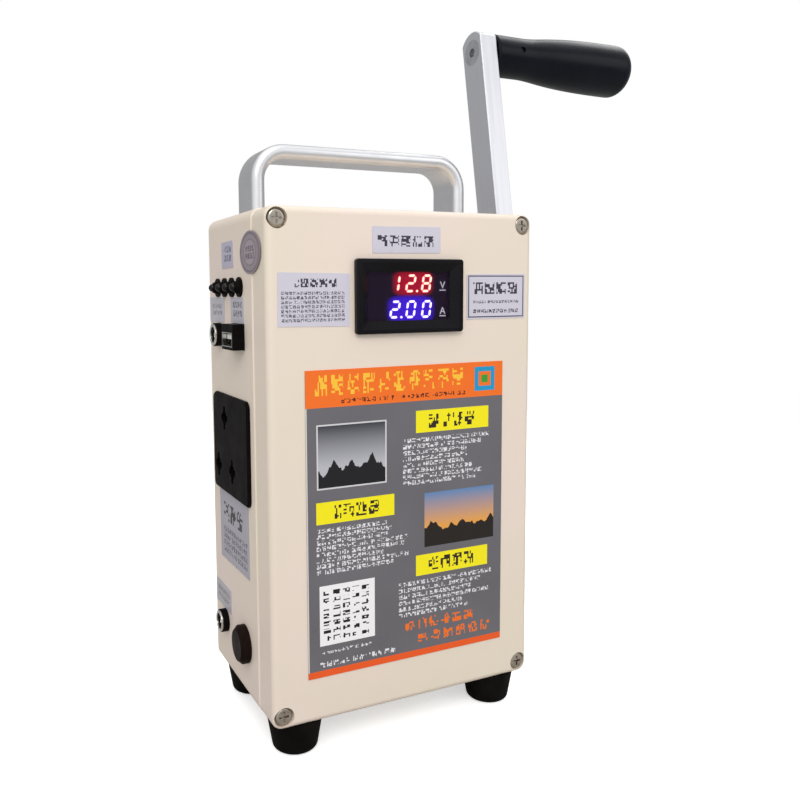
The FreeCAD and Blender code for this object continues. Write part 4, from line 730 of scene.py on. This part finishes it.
for ink, *edges in BANDS + BADGE + [(YELLOW, *edges) for edges in HEADINGS]:
    colour = print_over(tree, colour, ink, printed_box(tree, place, *edges))
for number, edges in enumerate(PARAGRAPHS):
    seed = number + FIRST_PARAGRAPH_SEED
    colour = print_rows(tree, place, colour, CHALK, edges, 1.75, gap=(0.22, 0.42), ragged=0.35, seed=seed)
print("bands, headings and paragraphs:", len(BANDS) + len(HEADINGS) + len(PARAGRAPHS))

# %% Print the title, the headings and the lines
LINES = [
    ("#FBC43A", (-41, 27, 142.2, 150.0), 7.8, 5.0, 9),
    ("#5A2110", (-30, 27, 138.9, 140.7), 1.7, 1.7, 4),
    (ORANGE, (-2, 32, 43.0, 47.4), 4.4, 4.4, 7),
    (ORANGE, (4, 41, 36.8, 41.2), 4.4, 4.4, 7),
    (CHALK, (-40, -6, 35.4, 37.6), 2.1, 2.1, 5),
    (CHALK, (-39, -17, 40.6, 42.0), 1.3, 1.3, 4),
]
for left, right, low, high in HEADINGS:
    LINES.append((INK, (left + 6, right - 6, low + 1.6, high - 1.6), 5.6, 4.6, 8))
for number, (ink, edges, tall, wide, strokes) in enumerate(LINES):
    seed = number + FIRST_LINE_SEED
    colour = print_rows(tree, place, colour, ink, edges, tall, wide, strokes, gap=(0.3, 0.3), seed=seed)
print("lines:", len(LINES))

# %% Print the two pictures and the white panel
RIDGE_LENGTH = 7


def printed_view(tree, place, below, edges, sky_low, sky_high, land, horizon, ridge):
    """A small landscape: a sky that fades upwards over uneven land, in a rectangle of the sheet."""
    height = split(tree, place)["Z"]
    share = rescale(tree, height, (horizon * MM, edges[3] * MM))
    noise = add_noise(tree, place, RIDGE_LENGTH, (1, 0, 0), 4.0)
    top = rescale(tree, noise, NOISE_RANGE, ((horizon - ridge) * MM, (horizon + ridge) * MM))
    ground = calculate(tree, "LESS_THAN", height, top)
    picture = blend(tree, ground, blend(tree, share, sky_low, sky_high), land)
    return print_over(tree, below, picture, printed_box(tree, place, *edges))


colour = print_over(tree, colour, "#D4D2D4", printed_box(tree, place, -40.6, -10.4, 105.9, 131.1))
VIEWS = (
    ((-40, -11, 106.5, 130.5), "#B9B9BE", "#3A3C44", "#141418", 114.5, 5.0),
    ((7, 41, 77.0, 99.5), "#E8A24A", "#5E86B4", "#1E1814", 85.0, 3.5),
)
for view in VIEWS:
    colour = printed_view(tree, place, colour, *view)
colour = print_over(tree, colour, "#F4F2F2", printed_box(tree, place, -40, -16, 44.0, 68.0))
panel = (-38.4, -17.6, 45.8, 66.2)
colour = print_rows(tree, place, colour, "#17151A", panel, 1.9, 3.1, 4, (0.22, 0.5), seed=PANEL_SEED)
tree.links.new(colour, shader.inputs["Base Color"])
add_grain(tree, shader, place, 30, 0.12, detail=1.0)
dress(vinyl, "info_label")

# %% [markdown]
# ## The small labels
#
# Nine small labels are stuck to the front and the side. On the solid model they are flat
# tiles; here each becomes a sheet 0.22 mm thick. Eight are laminated paper, turned by up to a
# degree as labels put on by hand are. Each of these is a plane whose corners are bevelled in
# edit mode and which is then extruded to its thickness. It is made flat at the origin and
# turned onto its wall last, because a bevel is easiest on a flat sheet.

# %% Turn a flat piece onto a wall
WALL_TURNS = {
    "front": Euler((math.radians(90), 0, 0)).to_matrix().to_4x4(),
    "side": Euler((math.radians(90), 0, math.radians(-90))).to_matrix().to_4x4(),
}


def hang_on_wall(piece, wall, across, up, depth, tilt=0.0):
    """Moves a piece made flat at the origin onto a wall, depth mm in front of the part's middle."""
    centre = Vector((across, -depth, up)) if wall == "front" else Vector((-depth, across, up))
    turned = WALL_TURNS[wall] @ Matrix.Rotation(math.radians(tilt), 4, "Z")
    piece.matrix_world = Matrix.Translation(centre * MM) @ turned
    bpy.ops.object.transform_apply(location=True, rotation=True, scale=True)


print("walls:", ", ".join(WALL_TURNS))

# %% Cut a label
LABEL_THICKNESS = 0.22
LABEL_CORNER = 0.5
OVAL_SIDES = 72


def edit_all():
    """Opens the active piece for editing with all of it selected."""
    bpy.ops.object.mode_set(mode="EDIT")
    bpy.ops.mesh.select_all(action="SELECT")


def thicken(offset):
    """Extrudes all faces by an offset in mm, turns them outwards and ends the edit."""
    bpy.ops.mesh.select_all(action="SELECT")
    bpy.ops.mesh.extrude_region_move(TRANSFORM_OT_translate={"value": [v * MM for v in offset]})
    bpy.ops.mesh.select_all(action="SELECT")
    bpy.ops.mesh.normals_make_consistent(inside=False)
    bpy.ops.object.mode_set(mode="OBJECT")


def cut_label(name, wall, left, right, low, high, tilt=0.0, oval=False):
    """A thin sheet with rounded corners, or an oval one, stuck on a wall. Edges are in mm."""
    bpy.ops.object.select_all(action="DESELECT")
    if oval:
        bpy.ops.mesh.primitive_circle_add(vertices=OVAL_SIDES, radius=0.5, fill_type="NGON")
    else:
        bpy.ops.mesh.primitive_plane_add(size=1)
    piece = bpy.context.object
    piece.name = piece.data.name = name
    piece.scale = ((right - left) * MM, (high - low) * MM, 1)
    bpy.ops.object.transform_apply(scale=True)
    edit_all()
    if not oval:
        bpy.ops.mesh.bevel(affect="VERTICES", offset=LABEL_CORNER * MM, segments=4)
    thicken((0, 0, LABEL_THICKNESS))
    depth = -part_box("front_cover")[0].y / MM if wall == "front" else -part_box("rear_housing")[0].x / MM
    hang_on_wall(piece, wall, (left + right) / 2, (low + high) / 2, depth, tilt)
    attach(piece, "case")
    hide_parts("small_labels")
    return piece


print("label thickness in mm:", LABEL_THICKNESS)

# %% [markdown]
# A label's print is a table too: the paper's colour, an optional border and rows of strokes.
# Labels on the side read their place along Y, so their coordinates are turned first: Y goes
# where X was.

# %% Print a label
BORDER_INSET = 0.6


def place_on_side(tree, place):
    """The place with Y where X was, as the print reads it on the side wall."""
    parts = split(tree, place)
    return add_node(tree, "ShaderNodeCombineXYZ", None, {"X": parts["Y"], "Z": parts["Z"]}).outputs[0]


def print_label(name, wall, paper_colour, edges, rows, border=None):
    """Laminated paper with rows of (left, right, low, high, mark size, ink), all in mm."""
    left, right, low, high = edges
    finish = "paper_laminated_" + name
    material, tree, shader, place = start_finish(finish, paper_colour, 0.32, ior=1.5, mirror=0.3)
    if wall == "side":
        place = place_on_side(tree, place)
    colour = add_drift(tree, shader, place, 9, (paper_colour, paper_colour), (0.26, 0.42))
    if border:
        thick, border_ink = border
        for inset, ink in ((BORDER_INSET, border_ink), (BORDER_INSET + thick, paper_colour)):
            box = printed_box(tree, place, left + inset, right - inset, low + inset, high - inset)
            colour = print_over(tree, colour, ink, box)
    for number, (*row_edges, size, ink) in enumerate(rows):
        style = {"strokes": 7, "gap": (0.2, 0.4), "bare": (0.64, 0.66), "seed": number + 1}
        colour = print_rows(tree, place, colour, ink, row_edges, size, **style)
    tree.links.new(colour, shader.inputs["Base Color"])
    add_grain(tree, shader, place, 7, 0.03, detail=1.0)
    return material


print("a label is paper, a border and rows")

# %% Make the labels of both walls
LILAC, DARK, GREY = "#CFCBD6", "#3A3846", "#55525F"
LABELS = {
    "label_meter": ("front", (-16.3, 14.3, 196.3, 206.5), LILAC, 0.6, [(-14, 12, 198.8, 203.8, 4.2, DARK)]),
    "label_note": ("front", (-55.4, -26, 168.5, 188.5), LILAC, -0.8,
                   [(-50, -31, 183.2, 187.2, 3.2, DARK), (-54, -28, 170.3, 181.6, 1.25, GREY)]),
    "label_formula": ("front", (27, 56, 169.8, 188.2), LILAC, 0.4,
                      [(30, 53, 180.0, 185.4, 4.8, DARK), (30, 53, 176.2, 178.2, 1.2, GREY),
                       (30, 53, 172.2, 174.8, 1.6, DARK)]),
    "label_lamps": ("side", (0.2, 15.6, 191.7, 202.5), "#B9B4C4", 0.8,
                    [(2.5, 13, 194.4, 200.6, 2.6, "#6A6780")]),
    "label_jack": ("side", (13.4, 34.8, 168.9, 179.6), "#C4C1C6", -0.6,
                   [(16.5, 31, 172.0, 177.0, 2.0, "#7C7A80")]),
    "label_usb": ("side", (-12.6, 4.4, 169.2, 179.6), "#C2BFC6", 0.5,
                  [(-10.5, 1.5, 172.0, 178.0, 2.4, "#5E5C63")]),
    "label_mains": ("side", (-13.6, 25.5, 65.3, 95.7), "#ADA9B3", 1.0,
                    [(-6, 21.5, 83.0, 91.5, 7.8, "#26252A"), (-11.5, 21.0, 68.5, 80.0, 2.3, "#5C5A64")]),
    "label_lower": ("side", (12.6, 34.6, 41.7, 52.3), "#B9B5BA", -0.7,
                    [(14.5, 32, 44.4, 50.0, 2.2, "#75737A")]),
}
BORDERS = {"label_formula": (0.5, "#4A4858")}
for name, (wall, edges, paper_colour, tilt, rows) in LABELS.items():
    label = cut_label(name, wall, *edges, tilt=tilt)
    label.data.materials.append(print_label(name, wall, paper_colour, edges, rows, BORDERS.get(name)))
print("labels:", len(LABELS))

# %% [markdown]
# The ninth label is an oval seal of mauve foil paper that bridges the seam between the two
# halves of the case. Its print is two oval lines with strokes in the middle. An oval is a
# circle whose two radii differ, so a distance from its middle, measured in those radii,
# draws both lines: each disc lies on the one before, out to a share of the radii.

# %% Make the oval seal
SEAL_EDGES = (-33.0, -9.2, 188.5, 204.9)
SEAL_CORE = (-26.4, -15.6, 194.2, 199.2)
SEAL_DISCS = ((0.92, "#6C5F69"), (0.84, "#93858D"), (0.62, "#74676F"), (0.57, "#A2959B"))
seal_label = cut_label("label_seal", "side", *SEAL_EDGES, oval=True)
foil, tree, shader, place = start_finish("paper_foil_printed_seal", "#8B7D88", 0.30, ior=1.5)
fore, rear, low, high = SEAL_EDGES
radii = ((rear - fore) / 2, (high - low) / 2)
centred = measured_from(tree, place, (0, (fore + rear) / 2, (low + high) / 2), (FAR, *radii))
reach = calculate(tree, "LENGTH", centred, vector=True)
colour = add_drift(tree, shader, place, 8, ("#85777F", "#94868F"), (0.25, 0.4))
for edge, ink in SEAL_DISCS:
    colour = print_over(tree, colour, ink, calculate(tree, "LESS_THAN", reach, edge))
flat = place_on_side(tree, place)
colour = print_rows(
    tree, flat, colour, "#54485A", SEAL_CORE, 2.2, strokes=6, gap=(0.25, 0.3), seed=4, bare=(0.62, 0.66)
)
tree.links.new(colour, shader.inputs["Base Color"])
add_grain(tree, shader, place, 5, 0.02, detail=1.0)
seal_label.data.materials.append(foil)
print("seal radii in mm:", [round(r, 1) for r in radii])

# %% [markdown]
# ## The meter's display
#
# The volt and amp digits are seven-segment LEDs behind a smoked acrylic window. Each bar of
# a real LED glows white-hot along its middle and in its own colour at its rim, and lights
# the resin around it. Three things give that here: the bars shine in their colour, a thin
# bright core lies on each of them, and the face behind has a painted glow near the digits:
# emission on the face that stands in for the light the digits throw onto it.

# %% The bars of the digits
METER_MIDDLE = 179.5


def glowing_finish(name, colour, roughness, glow, strength, size):
    """A finish with a grain size mm wide that shines in a hex colour of its own."""
    material, tree, shader, place = start_finish(name, colour, roughness, ior=1.5)
    shader.inputs["Emission Color"].default_value = linear(glow)
    shader.inputs["Emission Strength"].default_value = strength
    add_grain(tree, shader, place, size, 0.01)
    return material


for name, glow, strength in (("volt_digits", "#FF3038", 4.5), ("amp_digits", "#4A30FF", 5.0)):
    dress(glowing_finish("epoxy_led_bars_" + name, "#501010", 0.3, glow, strength, 0.5), name)

# %% [markdown]
# The painted glow on the face, which stands in for the digits' light falling on it, is a
# patch behind each number, with its height above the meter's middle, its place across, its
# colour and two radii. Summing the fourth powers of both distances gives it the shape of a
# rectangle with round corners.

# %% The face behind the digits
FACE_GLOWS = ((5.0, 2.4, "#C80A28", 9.2, 4.9), (-5.2, 1.4, "#4A1CFF", 10.6, 5.4))
GLOW_FADES_AT = 1.5
GLOW_STRENGTH = 1.9
# The face's emission is painted glow: the digits' light spilling onto the face.
face, tree, shader, place = start_finish("epoxy_display_face_dark", "#5A3F66", 0.35, ior=1.5, mirror=0.1)
add_grain(tree, shader, place, 0.4, 0.01)
painted_glow_colours = []
for up, across, ink, half_width, half_height in FACE_GLOWS:
    near = measured_from(tree, place, (across, 0, METER_MIDDLE + up), (half_width, FAR, half_height))
    power = calculate(tree, "MULTIPLY", near, (1, 0, 1), vector=True)
    for _ in range(2):
        power = calculate(tree, "MULTIPLY", power, power, vector=True)
    total = calculate(tree, "DOT_PRODUCT", power, (1, 1, 1), vector=True)
    fade = rescale(tree, total, (0.0, GLOW_FADES_AT), (1.0, 0.0), "SMOOTHSTEP")
    painted_glow_colours.append(blend(tree, fade, "#000000", ink))
tree.links.new(calculate(tree, "ADD", *painted_glow_colours, vector=True), shader.inputs["Emission Color"])
shader.inputs["Emission Strength"].default_value = GLOW_STRENGTH
dress(face, "meter_display")

# %% The smoked window
WINDOW_ALPHA = 0.45
window, tree, shader, place = start_finish("acrylic_smoked_polished", "#140C1A", 0.04, ior=1.49, mirror=0.15)
shader.inputs["Alpha"].default_value = WINDOW_ALPHA
add_grain(tree, shader, place, 25, 0.01, detail=1.0)
dress(window, "meter_window")

# %% [markdown]
# The bright cores are cut from the digits themselves. A solid's mesh is loose triangles and
# is never edited, so a copy of it is made, its doubled points are merged and its flat faces
# dissolved. Then only the faces that look forwards are kept, each is inset by a little less
# than a tenth of a millimetre, and the rim is deleted, so that the bar's own colour shows
# round its core.

# %% Select faces in code
def select_faces(piece, test):
    """Selects the faces of a piece for which test(face) is true, in face mode, and stays in edit mode."""
    bpy.ops.object.mode_set(mode="EDIT")
    bpy.ops.mesh.select_mode(type="FACE")
    bpy.ops.mesh.select_all(action="DESELECT")
    bpy.ops.object.mode_set(mode="OBJECT")
    for polygon in piece.data.polygons:
        polygon.select = test(polygon)
    bpy.ops.object.mode_set(mode="EDIT")


print("faces are picked by their normal")

# %% Cut the bright cores
CORE_INSET = 0.09
CORE_DEPTH = 0.03
SAME_POINT = 0.001
FLAT_ANGLE = math.radians(2)
FORWARDS = -0.9


def cut_cores(name, digits, colour, strength):
    """Thin bright strips on the middle of a node's digit bars."""
    bpy.ops.object.select_all(action="DESELECT")
    piece = frame["nodes"][digits].copy()
    piece.data = frame["nodes"][digits].data.copy()
    piece.parent = None
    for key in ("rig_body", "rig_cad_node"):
        del piece[key]
    bpy.context.scene.collection.objects.link(piece)
    piece.name = piece.data.name = name
    bpy.context.view_layer.objects.active = piece
    piece.select_set(True)
    edit_all()
    bpy.ops.mesh.remove_doubles(threshold=SAME_POINT * MM)
    bpy.ops.mesh.dissolve_limited(angle_limit=FLAT_ANGLE)
    bpy.ops.object.mode_set(mode="OBJECT")
    select_faces(piece, lambda face: face.normal.y > FORWARDS)
    bpy.ops.mesh.delete(type="FACE")
    bpy.ops.mesh.select_all(action="SELECT")
    bpy.ops.mesh.inset(thickness=CORE_INSET * MM, use_individual=True)
    bpy.ops.mesh.select_all(action="INVERT")
    bpy.ops.mesh.delete(type="FACE")
    thicken((0, -CORE_DEPTH, 0))
    piece.data.materials.clear()
    piece.data.materials.append(glowing_finish("epoxy_led_core_" + digits, colour, 0.3, colour, strength, 0.3))
    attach(piece, "case")
    return piece


red_cores = cut_cores("volt_digit_cores", "volt_digits", "#FFD2C0", 5.0)
blue_cores = cut_cores("amp_digit_cores", "amp_digits", "#EAE2FF", 5.0)
print("core faces:", len(red_cores.data.polygons), len(blue_cores.data.polygons))

# %% [markdown]
# The unit marks V and A are printed in white on the face, each with a line under it. Their
# ink has a painted glow: it shines though it is no lamp, so that it reads bright through the
# smoked window. Text is the quickest way to a clean letter: it is added, given its size, made a
# mesh, and only then turned onto the wall. The line is a flat cube, added while the letter's
# mesh is edited.

# %% Print the unit marks
MARK_HEIGHT = 2.7
CAPITAL_SHARE = 0.69
MARK_HALF_THICKNESS = 0.02
MARK_BOLDNESS = 0.04
MARK_X = 16.1
MARK_RAISE = 0.03
LINE_DROP = 0.75
LINE_SIZE = (2.9, 0.42, 0.04)
MARK_PLACES = (("V", METER_MIDDLE + 3.0), ("A", METER_MIDDLE - 7.3))
face_front = -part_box("meter_display")[0].y / MM


def print_mark(letter, up):
    """A white letter with a line under it, on the display's face."""
    bpy.ops.object.select_all(action="DESELECT")
    bpy.ops.object.text_add()
    mark = bpy.context.object
    mark.data.body = letter
    mark.data.size = MARK_HEIGHT / CAPITAL_SHARE * MM
    mark.data.align_x = "CENTER"
    mark.data.extrude = MARK_HALF_THICKNESS * MM
    mark.data.offset = MARK_BOLDNESS * MM
    bpy.ops.object.convert(target="MESH")
    mark = bpy.context.object
    bpy.ops.object.mode_set(mode="EDIT")
    size = [s * MM for s in LINE_SIZE]
    bpy.ops.mesh.primitive_cube_add(size=1, location=(0, -LINE_DROP * MM, 0), scale=size)
    bpy.ops.object.mode_set(mode="OBJECT")
    mark.name = mark.data.name = "unit_mark_" + letter
    hang_on_wall(mark, "front", MARK_X, up, face_front + MARK_RAISE)
    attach(mark, "case")
    return mark


# White ink with a painted glow: its emission makes it read bright behind the smoked window.
chalk = glowing_finish("ink_screen_printed_white", "#F2F0FA", 0.5, "#E6E2F4", 1.6, 0.3)
for letter, up in MARK_PLACES:
    mark = print_mark(letter, up)
    mark.data.materials.clear()
    mark.data.materials.append(chalk)
    print(mark.name, "faces:", len(mark.data.polygons))

# %% [markdown]
# ## The USB socket's contacts
#
# Four gilt springs lie on the tongue of a USB socket, the outer two longer than the inner
# two. Each is a thin strip whose edges are bevelled so that a plug slides over it. All four
# are joined into one piece.

# %% Lay the contacts
CONTACT_SHARES = (0.15, 0.38, 0.62, 0.85)
CONTACT_LENGTHS = (5.6, 4.8, 4.8, 5.6)
CONTACT_WIDTH, CONTACT_THICKNESS = 1.0, 0.06
CONTACT_SET_BACK = 0.6
CONTACT_BEVEL = 0.02
tongue_low, tongue_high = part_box("usb_tongue")
gilt, tree, shader, place = start_finish("bronze_gold_plated", "#E8BE62", 0.2, 1.0)
add_drift(tree, shader, place, 2, ("#EDC46A", "#D0A04A"), (0.16, 0.28))
contacts = []
for share, length in zip(CONTACT_SHARES, CONTACT_LENGTHS):
    bpy.ops.object.select_all(action="DESELECT")
    across = tongue_low.y + (tongue_high.y - tongue_low.y) * share
    along = tongue_high.x - (CONTACT_SET_BACK + length / 2) * MM
    bpy.ops.mesh.primitive_cube_add(size=1)
    strip = bpy.context.object
    strip.scale = (length * MM, CONTACT_WIDTH * MM, CONTACT_THICKNESS * MM)
    strip.location = (along, across, tongue_low.z - CONTACT_THICKNESS / 2 * MM)
    bpy.ops.object.transform_apply(location=True, scale=True)
    edit_all()
    bpy.ops.mesh.bevel(offset=CONTACT_BEVEL * MM, segments=2)
    bpy.ops.object.mode_set(mode="OBJECT")
    contacts.append(strip)
for strip in contacts:
    strip.select_set(True)
bpy.context.view_layer.objects.active = contacts[0]
bpy.ops.object.join()
usb_contacts = bpy.context.object
usb_contacts.name = usb_contacts.data.name = "usb_contacts"
usb_contacts.data.materials.append(gilt)
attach(usb_contacts, "case")
print("tongue in mm:", [round(v / MM, 2) for v in (*tongue_low, *tongue_high)])

# %% [markdown]
# ## The button's spring
#
# Under the button's cap lies a coil spring, wound cold from steel wire. It gets shorter when
# the button is pressed, which a rigid solid can't do. The solid model's spring is hidden and
# made again as a piece of its own, joined to the case body; nothing here makes it shorten.
# A circle of wire is swept by a Screw modifier, which turns it and moves it along at once,
# just as the winding machine does. The cut ends are then closed.

# %% Wind the spring
SPRING_WIRE_RADIUS = 0.35
SPRING_TURNS = 3.5
WIRE_SIDES = 12
STEPS_PER_TURN = 28
spring_low, spring_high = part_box("button_spring")
spring_length = spring_high.x - spring_low.x
spring_middle = (spring_low + spring_high) / 2
coil_radius = (spring_high.y - spring_low.y) / 2 - SPRING_WIRE_RADIUS * MM
bpy.ops.object.select_all(action="DESELECT")
bpy.ops.mesh.primitive_circle_add(
    vertices=WIRE_SIDES, radius=SPRING_WIRE_RADIUS * MM, location=(coil_radius, 0, 0),
    rotation=(math.radians(90), 0, 0),
)
coil = bpy.context.object
coil.name = coil.data.name = "button_coil_spring"
bpy.ops.object.transform_apply(location=True, rotation=True)
sweep = coil.modifiers.new("winding", "SCREW")
sweep.angle = math.radians(360) * SPRING_TURNS
sweep.screw_offset = spring_length - 2 * SPRING_WIRE_RADIUS * MM
sweep.steps = sweep.render_steps = round(STEPS_PER_TURN * SPRING_TURNS)
bpy.ops.object.modifier_apply(modifier=sweep.name)
edit_all()
bpy.ops.mesh.fill_holes(sides=0)
bpy.ops.mesh.select_all(action="SELECT")
bpy.ops.mesh.normals_make_consistent(inside=False)
bpy.ops.mesh.faces_shade_smooth()
bpy.ops.object.mode_set(mode="OBJECT")
coil.rotation_euler = (0, math.radians(90), 0)
coil.location = (spring_low.x + SPRING_WIRE_RADIUS * MM, spring_middle.y, spring_middle.z)
bpy.ops.object.transform_apply(location=True, rotation=True)
coil.data.materials.append(bpy.data.materials["steel_drawn_spring_wire"])
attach(coil, "case")
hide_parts("button_spring")
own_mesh(coil)

# %% [markdown]
# ## Check and finish
#
# Every solid that is still shown is checked for a finish, and the size of the dressed part
# is printed.

# %% Check the finishes
undressed = [name for name, solid in frame["nodes"].items() if not solid.hide_render and name not in dressed]
print("solids without a finish:", undressed)

# %% Print the dressed size
low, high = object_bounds()
print("dressed size in mm:", [round(v / MM, 1) for v in high - low])
